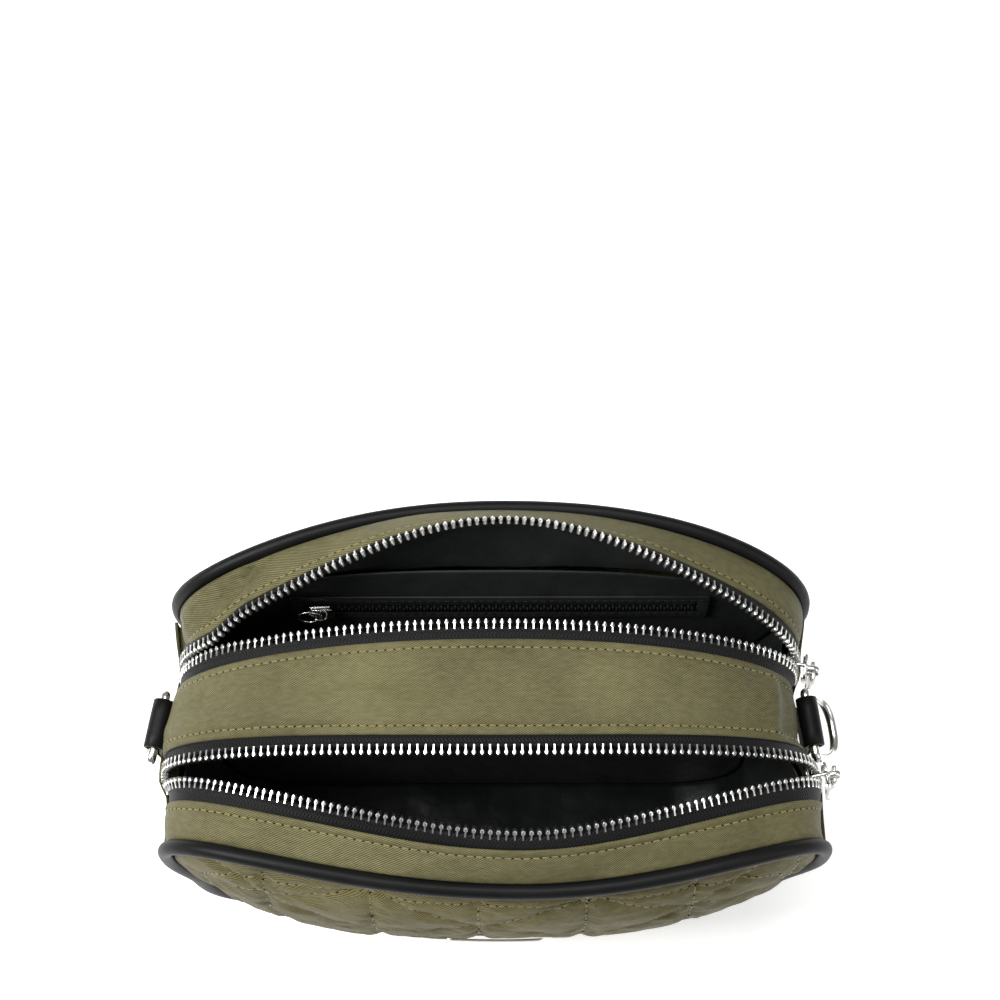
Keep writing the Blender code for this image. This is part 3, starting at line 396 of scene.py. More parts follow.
def outline_run(top_power, start, end, count, reach=2.0 * MM):
    """Evenly spaced points (x, z, normal x, normal z) on the outline between two angles."""
    turns = np.linspace(-math.pi, 3.0 * math.pi, 4001)
    first, last = np.interp((start, end), crowd(turns), turns)
    raw = np.array([outline_point(angle, top_power) for angle in crowd(np.linspace(first, last, 3000))])
    step = np.hypot(*np.diff(raw, axis=0).T)
    along = np.concatenate([[0.0], np.cumsum(step)])
    wanted = np.linspace(0.0, along[-1], count)
    x, z = np.interp(wanted, along, raw[:, 0]), np.interp(wanted, along, raw[:, 1])
    x_slope = np.interp(wanted + reach, along, raw[:, 0]) - np.interp(wanted - reach, along, raw[:, 0])
    z_slope = np.interp(wanted + reach, along, raw[:, 1]) - np.interp(wanted - reach, along, raw[:, 1])
    length = np.hypot(x_slope, z_slope)
    turn = 1.0 if end > start else -1.0
    return list(zip(x, z, turn * z_slope / length, -turn * x_slope / length))


def top_run(top_power, count, height=SEAM_HEIGHT):
    """The outline over the top, from the left side to the right one."""
    edge = outline_angle(top_power, height)
    return outline_run(top_power, math.pi - edge, edge, count)


def lower_run(top_power, count, height):
    """The outline down the left side, under the base and up the right side."""
    edge = outline_angle(top_power, height)
    return outline_run(top_power, math.pi - edge, 2.0 * math.pi + edge, count)


def full_run(top_power, count):
    return outline_run(top_power, 0.0, 2.0 * math.pi, count + 1)[:-1]


def swell(x, skew):
    """1 at the widest place of an open mouth, 0 at the bag's sides."""
    reach = HALF_WIDTH - skew if x > skew else HALF_WIDTH + skew
    share = min(abs(x - skew) / reach, 1.0)
    return max(math.cos(0.5 * math.pi * share), 0.0)


def openness(side, x, z):
    """How far an open mouth pushes its wall out, from 0 to 1."""
    height = max(z, 0.0) / TOP_HEIGHT
    if side == FRONT:
        return swell(x, FRONT_SKEW) ** 0.9 * height ** 2
    power = 0.5 if x > BACK_SKEW else 0.8
    return swell(x, BACK_SKEW) ** power * height ** 2.4


def wall_depth(side, x, z):
    if side == FRONT:
        return -(FRONT_SEAM + FRONT_LEAN * openness(side, x, z))
    return BACK_SEAM + BACK_LEAN * openness(side, x, z)


def wall_sag(side, x, z):
    return (FRONT_SAG if side == FRONT else BACK_SAG) * openness(side, x, z)


def wall_power(side):
    return FRONT_POWER if side == FRONT else BACK_POWER


def lip_tilt(side, x):
    if side == FRONT:
        return FRONT_TILT * swell(x, FRONT_SKEW) ** 2.1
    return BACK_TILT * swell(x, BACK_SKEW) ** 1.8


def smooth(low, high, value):
    share = min(max((value - low) / (high - low), 0.0), 1.0)
    return share * share * (3.0 - 2.0 * share)


def right_pull(y):
    """The right side is drawn in behind the front zip, and dented where the tab sits."""
    drawn_in = (RIGHT_FRONT_PUSH + RIGHT_MIDDLE_PULL) * smooth(-21.0 * MM, -5.0 * MM, y)
    let_out = (RIGHT_MIDDLE_PULL - RIGHT_BACK_PULL) * smooth(20.0 * MM, 38.5 * MM, y)
    dent = smooth(-16.0 * MM, -8.0 * MM, y) - smooth(8.0 * MM, 17.0 * MM, y)
    return RIGHT_FRONT_PUSH - drawn_in + let_out - RIGHT_TAB_DENT * dent


def left_pull(y):
    """The left side slants: out by the front zip and in by the back one."""
    drawn_in = smooth(2.0 * MM, 16.0 * MM, y) - smooth(16.0 * MM, 34.0 * MM, y)
    pushed_out = smooth(-27.0 * MM, -19.0 * MM, y) - smooth(-15.0 * MM, 4.0 * MM, y)
    return LEFT_MIDDLE_PULL * drawn_in - LEFT_FRONT_PUSH * pushed_out


def side_pull(x, y, z):
    """How far the slack sides move in or out at a place."""
    pull = right_pull(y) if x > 0.0 else left_pull(y)
    return pull * (abs(x) / HALF_WIDTH) ** 3 * smooth(0.0, SLACK_HEIGHT, z)


def place(x, y, z):
    return Vector((x + side_pull(x, y, z), y, z))


def lip_point(side, station, across, height):
    """A point on an open lip: across from the piping's centre, height off the cloth."""
    x, z, normal_x, normal_z = station
    tilt = lip_tilt(side, x)
    y = wall_depth(side, x, z)
    y += side * (height * math.sin(tilt) - across * math.cos(tilt))
    lift = across * math.sin(tilt) + height * math.cos(tilt)
    z_low = z - wall_sag(side, x, z)
    return place(x + normal_x * lift, y, z_low + normal_z * lift)


def middle_edge(side, x):
    """Where the middle strip's edge lies in Y."""
    narrowing = MIDDLE_FRONT_NARROWING if side == FRONT else MIDDLE_BACK_NARROWING
    return side * (MIDDLE_HALF - narrowing * (1.0 - swell(x, 0.0)))


def middle_point(station, y, height):
    x, z, normal_x, normal_z = station
    return place(x + normal_x * height, y, z + normal_z * height)


def closing_share(side, station):
    """1 where a zip's two rows run side by side, 0 where the mouth sets them apart."""
    x, z = station[0], station[1]
    full = CLOSED_HEIGHT_RIGHT
    if x < 0.0:
        full = CLOSED_HEIGHT_BACK_LEFT if side == BACK else CLOSED_HEIGHT_FRONT_LEFT
    return 1.0 - smooth(full, full + CLOSING_RUN, z)


def row_gather(side, station, lip):
    """How far a row of teeth moves towards the other one near the zip's ends."""
    x, z = station[0], station[1]
    lip_reach = STRIP_WIDTH + LIP_TAPE + GAP + 0.5 * TEETH_WIDE
    middle_reach = MIDDLE_TAPE + GAP + 0.5 * TEETH_WIDE
    lip_y = abs(wall_depth(side, x, z)) - lip_reach * math.cos(lip_tilt(side, x))
    middle_y = abs(middle_edge(side, x)) + middle_reach
    spacing = ROW_SPACING_RIGHT if x > 0.0 else ROW_SPACING_LEFT
    part = 0.5
    if side == BACK and x < 0.0:
        part = BACK_LEFT_LIP_SHARE if lip else 1.0 - BACK_LEFT_LIP_SHARE
    return part * (lip_y - middle_y - spacing) * closing_share(side, station)


def back_wall_y(z):
    return BACK_WALL_START + BACK_WALL_LEAN * (z / TOP_HEIGHT) ** 2


# ------------------------------------------------------------ mesh helpers

def wave(seed, x, y=0.0, z=0.0):
    return noise.noise(Vector((x + 17.3 * seed, y - 5.1 * seed, z + 2.7 * seed)))


def piece(name, verts, faces, looks, body=BAG, cloth=None, picks=None, flat=None):
    """A mesh piece with outward faces.

    picks gives each face's material, cloth each vertex's place on the cloth, flat the angle of a sharp edge.
    """
    mesh = bpy.data.meshes.new(name)
    mesh.from_pydata([tuple(v) for v in verts], [], faces)
    looks = looks if isinstance(looks, list) else [looks]
    for look in looks:
        mesh.materials.append(look)
    if picks is not None:
        mesh.polygons.foreach_set("material_index", picks)
    if cloth is not None:
        layer = mesh.attributes.new("cloth", "FLOAT_VECTOR", "POINT")
        layer.data.foreach_set("vector", np.asarray(cloth, np.float32).ravel())
    data = bmesh.new()
    data.from_mesh(mesh)
    bmesh.ops.recalc_face_normals(data, faces=data.faces)
    data.to_mesh(mesh)
    data.free()
    mesh.shade_smooth()
    if flat is not None:
        mesh.set_sharp_from_angle(angle=math.radians(flat))
    obj = bpy.data.objects.new(name, mesh)
    bpy.context.scene.collection.objects.link(obj)
    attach(obj, body)
    return obj


def loft_data(rings, closed=False):
    """Vertices, faces and cloth places of closed rings joined in order, capped unless closed."""
    rings = np.asarray([[tuple(p) for p in ring] for ring in rings], float)
    count, around, _ = rings.shape
    middle = rings.mean(1)
    along = np.concatenate([[0.0], np.cumsum(np.linalg.norm(np.diff(middle, axis=0), axis=1))])
    steps = np.linalg.norm(np.diff(rings, axis=1), axis=2)
    across = np.concatenate([np.zeros((count, 1)), np.cumsum(steps, axis=1)], axis=1)
    cloth = np.zeros((count, around, 3))
    cloth[:, :, 0] = along[:, None]
    cloth[:, :, 1] = across
    faces = []
    for i in range(count if closed else count - 1):
        this, after = i * around, ((i + 1) % count) * around
        for j in range(around):
            k = (j + 1) % around
            faces.append((this + j, this + k, after + k, after + j))
    if not closed:
        faces.append(tuple(range(around)))
        faces.append(tuple(range((count - 1) * around, count * around)))
    return rings.reshape(-1, 3), faces, cloth.reshape(-1, 3)


def loft(name, rings, look, closed=False, body=BAG, flat=None):
    verts, faces, cloth = loft_data(rings, closed)
    return piece(name, verts, faces, look, body, cloth, flat=flat)


def tube(points, radius, sides, wide=1.0, level_axis=(0.0, 1.0, 0.0)):
    """Vertices and faces of an open tube round a path."""
    return loft_data(tube_rings(points, radius, sides, False, wide, level_axis))[:2]


def disc_faces(rings, count):
    """Faces of two stacked discs joined at the rim; each has its rings from the inside out, then its hub."""
    faces = []
    for base in (0, rings * count + 1):
        for j in range(count):
            after = (j + 1) % count
            faces.append((base + rings * count, base + j, base + after))
            for k in range(rings - 1):
                a = base + k * count
                faces.append((a + j, a + count + j, a + count + after, a + after))
    last, second = (rings - 1) * count, rings * count + 1 + (rings - 1) * count
    for j in range(count):
        after = (j + 1) % count
        faces.append((last + j, last + after, second + after, second + j))
    return faces


def merge(parts):
    """Several (vertices, faces) lists as one."""
    verts, faces, base = [], [], 0
    for more, sides in parts:
        verts.extend(tuple(p) for p in more)
        faces.extend(tuple(base + i for i in face) for face in sides)
        base += len(more)
    return verts, faces


def tube_rings(points, radius, sides, closed, wide=1.0, level_axis=(0.0, 1.0, 0.0)):
    """Rings round a path; wide stretches the section along level_axis."""
    count = len(points)
    rings = []
    for i, point in enumerate(points):
        if closed:
            ahead = points[(i + 1) % count] - points[i - 1]
        else:
            ahead = points[min(i + 1, count - 1)] - points[max(i - 1, 0)]
        ahead.normalize()
        level = Vector(level_axis) - ahead * ahead.dot(Vector(level_axis))
        if level.length < 0.2:
            level = ahead.cross(Vector((1.0, 0.0, 0.0) if abs(ahead.x) < 0.9 else (0.0, 0.0, 1.0)))
        level.normalize()
        other = ahead.cross(level)
        size = radius[i] if isinstance(radius, (list, tuple)) else radius
        turns = [2.0 * math.pi * k / sides for k in range(sides)]
        rings.append([point + size * (wide * math.cos(t) * level + math.sin(t) * other) for t in turns])
    return rings


def capsule_data(middle, along, up, half_long, radius, flatten=0.8):
    """A short rounded thread lying along a direction."""
    side = along.cross(up).normalized()
    rings = []
    for share, size in ((-1.0, 0.35), (-0.72, 0.85), (0.0, 1.0), (0.72, 0.85), (1.0, 0.35)):
        centre = middle + along * (half_long * share)
        rings.append([centre + radius * size * (math.cos(t) * side + flatten * math.sin(t) * up)
                      for t in (0.0, 1.047, 2.094, 3.142, 4.189, 5.236)])
    verts, faces, _ = loft_data(rings)
    return verts, faces


def even_steps(points, pitch, phase=0.5):
    """Indices and shares that split a path of points into even steps."""
    gaps = [0.0]
    for a, b in zip(points, points[1:]):
        gaps.append(gaps[-1] + (b - a).length)
    count = int(gaps[-1] / pitch)
    spots = (np.arange(count) + phase) * (gaps[-1] / count)
    return np.interp(spots, gaps, np.arange(len(points)))


def at(values, spot):
    """A value between two neighbours of a list."""
    low = min(int(spot), len(values) - 2)
    share = spot - low
    if isinstance(values[low], tuple):
        return tuple(a + (b - a) * share for a, b in zip(values[low], values[low + 1]))
    return values[low].lerp(values[low + 1], share)


def stitch_line(paths, name, thread=THREAD, hole=NEEDLE_HOLE_SHADE):
    """Thread stitches with dark blobs between them as painted shade of the needle holes, on paths of (point,
    up) pairs.
    """
    parts, picks = [], []
    for path in paths:
        points = [p for p, _ in path]
        ups = [u for _, u in path]
        last = len(points) - 1.001
        for number, spot in enumerate(even_steps(points, STITCH_PITCH)):
            before, after = at(points, max(spot - 0.4, 0.0)), at(points, min(spot + 0.4, last))
            along = (after - before).normalized()
            up = at(ups, spot).normalized()
            middle = at(points, spot) + up * 0.05 * MM
            sway = along.cross(up) * (0.10 * MM * math.sin(7.1 * number))
            parts.append(capsule_data(middle + sway, along, up, 0.5 * STITCH_LONG, THREAD_RADIUS))
            picks.extend([0] * len(parts[-1][1]))
            # A dark blob after each stitch: painted shade of the needle hole's shadow.
            ahead = middle + along * (0.5 * STITCH_PITCH) - up * 0.10 * MM
            parts.append(capsule_data(ahead, along, up, HOLE_SHADE_HALF_LONG, THREAD_RADIUS, HOLE_SHADE_FLATTEN))
            picks.extend([1] * len(parts[-1][1]))
    verts, faces = merge(parts)
    return piece(name, verts, faces, [thread, hole], picks=picks)


def cut_plate(name, outlines, thick, bevel, where, look, body):
    """A flat piece with rounded edges, cut from outlines in local XY: the first outside, the rest holes."""
    curve = bpy.data.curves.new(name, "CURVE")
    curve.dimensions = "2D"
    curve.fill_mode = "BOTH"
    curve.extrude = 0.5 * thick - bevel
    curve.bevel_depth = bevel
    curve.bevel_resolution = 2
    curve.offset = -bevel
    for outline in outlines:
        spline = curve.splines.new("POLY")
        spline.points.add(len(outline) - 1)
        for point, (x, y) in zip(spline.points, outline):
            point.co = (x, y, 0.0, 1.0)
        spline.use_cyclic_u = True
    holder = bpy.data.objects.new(name + "_curve", curve)
    bpy.context.scene.collection.objects.link(holder)
    graph = bpy.context.evaluated_depsgraph_get()
    mesh = bpy.data.meshes.new_from_object(holder.evaluated_get(graph))
    bpy.data.objects.remove(holder, do_unlink=True)
    data = bmesh.new()
    data.from_mesh(mesh)
    bmesh.ops.remove_doubles(data, verts=data.verts, dist=0.005 * MM)
    verts = [where @ v.co for v in data.verts]
    data.verts.index_update()
    faces = [[v.index for v in f.verts] for f in data.faces]
    data.free()
    return piece(name, verts, faces, look, body, flat=35.0)


def mirrored(half):
    """A closed outline, in metres, from its half at positive Y, in millimetres."""
    left = [(x * MM, y * MM) for x, y in half]
    return left + [(x, -y) for x, y in reversed(left)]


def arch_points(half_wide, foot, rise, x_power, z_power, count):
    """A squarish arch in local XZ, in millimetres."""
    points = []
    for k in range(count):
        turn = math.pi * k / (count - 1)
        x = half_wide * signed_power(math.cos(turn), x_power)
        points.append(Vector((x * MM, 0.0, (foot + rise * math.sin(turn) ** z_power) * MM)))
    return points


def rounded_box(half_x, half_y, corner, steps, at_x=0.0):
    """A rectangle with round corners, anticlockwise."""
    points = []
    for quarter, (sx, sy) in enumerate(((1, 1), (-1, 1), (-1, -1), (1, -1))):
        for k in range(steps):
            turn = 0.5 * math.pi * (quarter + k / (steps - 1))
            points.append((at_x + sx * (half_x - corner) + corner * math.cos(turn),
                           sy * (half_y - corner) + corner * math.sin(turn)))
    return points


# ------------------------------------------------------------------ panels

def panel_rim(side, inset, count):
    """A wall's outline, drawn in from the piping, as (x, z) places."""
    rim = []
    for x, z, normal_x, normal_z in full_run(wall_power(side), count):
        rim.append((x - inset * normal_x, max(z, PIPING_RADIUS) - inset * normal_z))
    return rim


def rim_share(rim_table, x, z):
    """0 at the middle of the belly, 1 at the rim, along a ray from the middle."""
    angles, reaches = rim_table
    turn = math.atan2(z - BELLY_HEIGHT, x)
    return math.hypot(x, z - BELLY_HEIGHT) / np.interp(turn, angles, reaches, period=2.0 * math.pi)


def rim_rays(rim):
    """The rim as angles and reaches from the middle of the belly."""
    pairs = sorted((math.atan2(z - BELLY_HEIGHT, x), math.hypot(x, z - BELLY_HEIGHT)) for x, z in rim)
    return [a for a, _ in pairs], [r for _, r in pairs]


def quilt_distance(x, z):
    """Distance to the nearest sewn line of the triangular quilting."""
    nearest = 1.0
    for along_x, along_z in QUILT_DIRECTIONS:
        off = (x - QUILT_CENTRE_X) * along_z - (z - QUILT_NODE_Z) * along_x
        nearest = min(nearest, abs(off - QUILT_PITCH * round(off / QUILT_PITCH)))
    return nearest


def plate_distance(x, z):
    """How far a place on the front lies outside the name plate; negative behind it."""
    return max(abs(x) - PLATE_HALF_WIDE, abs(z - PLATE_HEIGHT) - PLATE_HALF_HIGH)


def panel_offset(side, rim_table, x, z):
    """How far the finished cloth stands off the CAD cover's outer face."""
    share = rim_share(rim_table, x, z)
    border = (1.0 - share) * RIM_REACH
    edge = smooth(0.0, 3.0 * MM, border)
    slack = 0.9 * MM * wave(3 + side, 22.0 * x, 30.0 * z) + 0.5 * MM * wave(7 + side, 60.0 * x, 70.0 * z)
    if side == BACK:
        seam = math.exp(-((border - BACK_BORDER_SEAM) / (0.9 * MM)) ** 2)
        return edge * (0.4 * MM + slack) - 0.7 * MM * seam
    seam = math.exp(-((border - BORDER_SEAM) / (0.9 * MM)) ** 2)
    far = quilt_distance(x, z)
    pillow = 1.0 - (1.0 - min(far / (9.0 * MM), 1.0)) ** 2.6
    pucker = 1.0 * MM * wave(11, 120.0 * x + 60.0 * z, 260.0 * z) * math.exp(-(far / (8.0 * MM)) ** 2)
    flat = 1.0 - smooth(4.0 * MM, 0.0, plate_distance(x, z))
    quilted = -1.0 * MM + 1.7 * MM * pillow + 0.35 * slack + pucker
    full = FRONT_BELLY * (share ** 2.2 - share ** 3.2) - 0.8 * MM * (1.0 - share ** 2)
    return edge * quilted * flat - 0.9 * MM * seam * edge + (full if share < 1.0 else 0.0)


def panel_point(side, rim_table, x, z, height):
    """A point on a wall's outer face, height beyond the CAD cover's."""
    belly = FRONT_BELLY if side == FRONT else BACK_BELLY
    share = min(rim_share(rim_table, x, z), 1.0)
    y = wall_depth(side, x, z) + side * (belly * (1.0 - share ** 2.2) + 1.0 * MM + height)
    return place(x, y, z) - Vector((0.0, 0.0, wall_sag(side, x, z)))


def build_panel(side, word, rings, around):
    """A padded cover: its displaced outer face, its inner face and the edge between them."""
    rim = panel_rim(side, PIPING_RADIUS + 0.5 * MM, around)
    table = rim_rays(rim)
    verts, cloth = [], []
    for outer in (True, False):
        spots = []
        for k in range(1, rings + 1):
            share = 1.0 - (1.0 - k / rings) ** 1.12
            spots += [(share * x, BELLY_HEIGHT + share * (z - BELLY_HEIGHT)) for x, z in rim]
        for x, z in spots + [(0.0, BELLY_HEIGHT)]:
            height = panel_offset(side, table, x, z) if outer else -COVER_THICK
            verts.append(panel_point(side, table, x, z, height))
            cloth.append((x, z, 0.0))
    look = OLIVE_TAUT if side == FRONT else OLIVE
    cover = piece(word + "_cover", verts, disc_faces(rings, len(rim)), look, BAG, cloth)
    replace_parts(cover, word + "_panel_cover", word + "_panel_padding")
    build_panel_seams(side, word, table)


def panel_path(side, table, points):
    """A path on a cover's finished surface, with the way up at each point."""
    path, step = [], 0.5 * MM
    for x, z in points:
        here = panel_point(side, table, x, z, panel_offset(side, table, x, z))
        right = panel_point(side, table, x + step, z, 0.0) - panel_point(side, table, x - step, z, 0.0)
        above = panel_point(side, table, x, z + step, 0.0) - panel_point(side, table, x, z - step, 0.0)
        up = right.cross(above).normalized()
        path.append((here, up if up.y * side > 0.0 else -up))
    return path


def quilt_paths(table):
    """The quilting's sewn lines on the front cover, broken by the name plate."""
    paths = []
    for along_x, along_z in QUILT_DIRECTIONS:
        for line in range(-8, 9):
            off = line * QUILT_PITCH
            start = (QUILT_CENTRE_X + off * along_z, QUILT_NODE_Z - off * along_x)
            inside = []
            for step in np.arange(-0.26, 0.26, 1.5 * MM):
                x, z = start[0] + step * along_x, start[1] + step * along_z
                if rim_share(table, x, z) < 0.985 and plate_distance(x, z) >= 0.5 * MM:
                    inside.append((x, z))
                    continue
                if len(inside) > 6:
                    paths.append(panel_path(FRONT, table, inside))
                inside = []
    return paths


def build_panel_seams(side, word, table):
    """A border seam inside the piping and, on the front, the quilting."""
    border = []
    angles, reaches = table
    share = 1.0 - (BORDER_SEAM if side == FRONT else BACK_BORDER_SEAM) / RIM_REACH
    for turn in np.linspace(-math.pi, math.pi, 260):
        reach = np.interp(turn, angles, reaches, period=2.0 * math.pi)
        border.append((share * reach * math.cos(turn), BELLY_HEIGHT + share * reach * math.sin(turn)))
    paths = [panel_path(side, table, border)] + (quilt_paths(table) if side == FRONT else [])
    stitch_line(paths, word + "_cover_stitches")


# ------------------------------------------------------------ piping, strips

def build_piping(side, word):
    """The piped edge round a wall, a little uneven, resting on the ground."""
    points = []
    for x, z, _, _ in full_run(wall_power(side), 300):
        low = max(z - wall_sag(side, x, z), PIPING_RADIUS)
        sway = 0.35 * MM * wave(21 + side, 14.0 * x, 14.0 * z)
        point = place(x, wall_depth(side, x, z) + sway, z)
        point.z = low
        points.append(point)
    rings = tube_rings(points, PIPING_RADIUS, 16, True)
    made = loft(word + "_piped_edge", rings, PIPING, True)
    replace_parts(made, word + "_piping")


def left_fold(x, across):
    """The back strip's deep fold at its left end, with a ridge beside it."""
    deep = smooth(-71.0 * MM, -80.0 * MM, x) * smooth(-107.5 * MM, -101.0 * MM, x)
    off = across - np.interp(x, FOLD_X, FOLD_ACROSS)
    valley = math.exp(-(off / (2.3 * MM)) ** 2)
    ridge = math.exp(-((off + 5.5 * MM) / (3.0 * MM)) ** 2)
    return deep * (FOLD_RIDGE * ridge - FOLD_VALLEY * valley)


def lip_ripple(side, station, across):
    """How far a front or back strip stands off its smooth shape."""
    x, z = station[0], station[1]
    reach = smooth(2.0 * MM, 6.0 * MM, across) * smooth(17.0 * MM, 13.0 * MM, across)
    loose = 0.7 + 0.9 * smooth(120.0 * MM, 95.0 * MM, z)
    long = wave(31 + side, 19.0 * x + 8.0 * z, 60.0 * across)
    short = wave(37 + side, 55.0 * x + 30.0 * z, 110.0 * across)
    settled = smooth(2.0 * MM, 5.0 * MM, across) * smooth(12.8 * MM, 9.0 * MM, across)
    fold = left_fold(x, across) * settled if side == BACK else 0.0
    return reach * loose * (1.9 * MM * long + 0.8 * MM * short) + fold


def strip_edge(side, station):
    """Where a lip strip's folded edge lies: it moves with its teeth, and the back one laps over its tape."""
    lap = 0.0 if side == FRONT else 1.4 * MM + 1.6 * MM * smooth(20.0 * MM, -40.0 * MM, station[0])
    return STRIP_WIDTH + row_gather(side, station, True) + lap


def stretched(side, station, across):
    """Spreads a strip's section so that it ends at the folded edge."""
    return across + (strip_edge(side, station) - STRIP_WIDTH) * smooth(2.0 * MM, 12.5 * MM, across)


def build_lip_strip(side, word):
    """A front or back strip; returns the path of its edge seam."""
    rings = []
    for station in top_run(wall_power(side), 300, SEAM_HEIGHT):
        ring = []
        for across, height in LIP_PROFILE:
            bend = lip_ripple(side, station, across * MM)
            ring.append(lip_point(side, station, stretched(side, station, across * MM), height * MM + bend))
        rings.append(ring)
    made = loft(word + "_strip", rings, OLIVE)
    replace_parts(made, word + "_top_strip")
    path = []
    for station in top_run(wall_power(side), 320, SEAM_HEIGHT + 1.0 * MM):
        height = SEAM_DENT + lip_ripple(side, station, STRIP_WIDTH - EDGE_STITCH)
        stitch_at = stretched(side, station, STRIP_WIDTH - EDGE_STITCH)
        here = lip_point(side, station, stitch_at, height)
        path.append((here, lip_point(side, station, stitch_at, height + 1.0 * MM) - here))
    return path


def middle_ripple(station, share):
    """How far the middle strip stands off, with a step near its right end."""
    x, z = station[0], station[1]
    inside = smooth(0.0, 0.22, share) * smooth(1.0, 0.78, share)
    long = wave(41, 21.0 * x + 6.0 * z, 2.2 * share)
    short = wave(43, 48.0 * x + 20.0 * z, 5.0 * share)
    fold = 2.0 * math.exp(-((x / MM - 94.0) / 3.0) ** 2) - 1.8 * math.exp(-((x / MM - 100.5) / 3.0) ** 2)
    return inside * (0.9 * MM + 2.7 * MM * long + 0.9 * MM * short + fold * MM)


def build_middle_strip():
    """The strip between the zips; returns the paths of its two edge seams."""
    rings, front_path, back_path = [], [], []
    for station in top_run(MIDDLE_POWER, 280, SEAM_HEIGHT):
        front, back = middle_edge(FRONT, station[0]), middle_edge(BACK, station[0])
        span = back - front
        inner, wide = front + MIDDLE_EDGE_WIDE, span - 2.0 * MIDDLE_EDGE_WIDE

        def rippled(y, share, height):
            return middle_point(station, y, height + middle_ripple(station, share))

        places = [(front + a * MM, h) for a, h in MIDDLE_EDGE]
        places += [(inner + wide * s, MIDDLE_FLAT) for s in np.linspace(0.14, 0.86, 6)]
        places += [(back - a * MM, h) for a, h in reversed(MIDDLE_EDGE)]
        ring = [rippled(y, (y - front) / span, h * MM) for y, h in places]
        ring += [rippled(front + span * s, s, MIDDLE_UNDER) for s in np.linspace(0.97, 0.03, 17)]
        rings.append(ring)
        for path, y in ((front_path, front + EDGE_STITCH), (back_path, back - EDGE_STITCH)):
            here = rippled(y, (y - front) / span, SEAM_DENT)
            path.append((here, middle_point(station, y, 1.0 * MM) - middle_point(station, y, 0.0)))
    made = loft("middle_strip", rings, OLIVE)
    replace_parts(made, "middle_top_strip")
    return front_path, back_path


# --------------------------------------------------------------------- zips

def tape_ring(point_at, edge, reach):
    """A tape's section from under the cloth's fold to the bead that the teeth clasp."""
    wide, bead = reach - edge, BEAD_RADIUS
    top = [(edge - 1.2 * MM, -0.95 * MM), (edge + 0.1 * MM, -0.72 * MM), (edge + 0.3 * wide, -0.38 * MM),
           (edge + 0.6 * wide, -0.34 * MM), (reach - 1.1 * MM, -0.3 * MM)]
    round_bead = [(reach - 0.6 * MM, -0.02 * MM), (reach, bead - 0.6 * MM), (reach + 0.55 * MM, -0.6 * MM),
                  (reach, -0.6 * MM - bead), (reach - 0.6 * MM, -1.15 * MM)]
    under = [(edge + 0.5 * wide, -0.95 * MM), (edge - 1.2 * MM, -1.15 * MM)]
    return [point_at(a, h) for a, h in top + round_bead + under]


def tooth_data(origin, along, towards, up):
    """One tooth: a stem clasping the tape's bead, and a pointed head."""
    rings = []
    for inset, height in TOOTH_LAYERS:
        size, reach = 1.0 - inset * 0.9, 1.0 - 0.25 * inset
        rings.append([origin + along * (a * size * MM) + towards * ((b * reach) * MM) + up * (height * MM)
                      for a, b in TOOTH_OUTLINE])
    return loft_data(rings)[:2]


def build_row(name, cad_node, stations, point_at, reach_at, phase):
    """A row of teeth along a path; point_at(station, across, height) gives places on it."""
    middles = [point_at(s, reach_at(s), TEETH_DEPTH) for s in stations]
    parts, last, nudge = [], len(middles) - 1.001, 0.5 * MM
    for number, spot in enumerate(even_steps(middles, TOOTH_PITCH, phase)):
        station = at(stations, spot)
        reach = reach_at(station)
        origin = point_at(station, reach, TEETH_DEPTH)
        towards = point_at(station, reach + nudge, TEETH_DEPTH)
        towards = (towards - point_at(station, reach - nudge, TEETH_DEPTH)).normalized()
        before, after = at(middles, max(spot - 0.5, 0.0)), at(middles, min(spot + 0.5, last))
        along = (after - before).normalized()
        up = along.cross(towards).normalized()
        if up.dot(point_at(station, reach, 0.4 * MM) - origin) < 0.0:
            up = -up
        lean = 0.05 * math.sin(2.3 * number) + 0.03 * math.sin(5.9 * number)
        leaning = (along + towards * lean).normalized()
        across = up.cross(leaning)
        parts.append(tooth_data(origin, leaning, across if towards.dot(across) > 0.0 else -across, up))
    verts, faces = merge(parts)
    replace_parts(piece(name, verts, faces, TEETH, flat=50.0), cad_node)


def build_zip(side, word):
    """Both tapes of a main zip and their rows of teeth."""
    lip_stations, middle_stations = top_run(wall_power(side), 280), top_run(MIDDLE_POWER, 280)

    def lip_at(station, across, height):
        return lip_point(side, station, across, height)

    def middle_at(station, out, height):
        return middle_point(station, middle_edge(side, station[0]) + side * out, height)

    def lip_bead(station):
        return STRIP_WIDTH + LIP_TAPE + GAP + row_gather(side, station, True) - BEAD_CLASP

    def middle_bead(station):
        return MIDDLE_TAPE + GAP + row_gather(side, station, False) - BEAD_CLASP

    rings = [tape_ring(lambda a, h: lip_at(s, a, h), strip_edge(side, s), lip_bead(s)) for s in lip_stations]
    outer_tape = loft(word + "_lip_tape", rings, TAPE)
    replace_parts(outer_tape, word + "_zip_outer_tape")
    rings = [tape_ring(lambda a, h: middle_at(s, a, h), 0.0, middle_bead(s)) for s in middle_stations]
    inner_tape = loft(word + "_middle_tape", rings, TAPE)
    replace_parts(inner_tape, word + "_zip_inner_tape")
    build_row(word + "_lip_teeth", word + "_zip_outer_teeth", lip_stations, lip_at,
              lambda s: lip_bead(s) + 0.5 * TEETH_WIDE, 0.5)
    build_row(word + "_middle_teeth", word + "_zip_inner_teeth", middle_stations, middle_at,
              lambda s: middle_bead(s) + 0.5 * TEETH_WIDE, 0.0)


# ------------------------------------------------------------- lower body

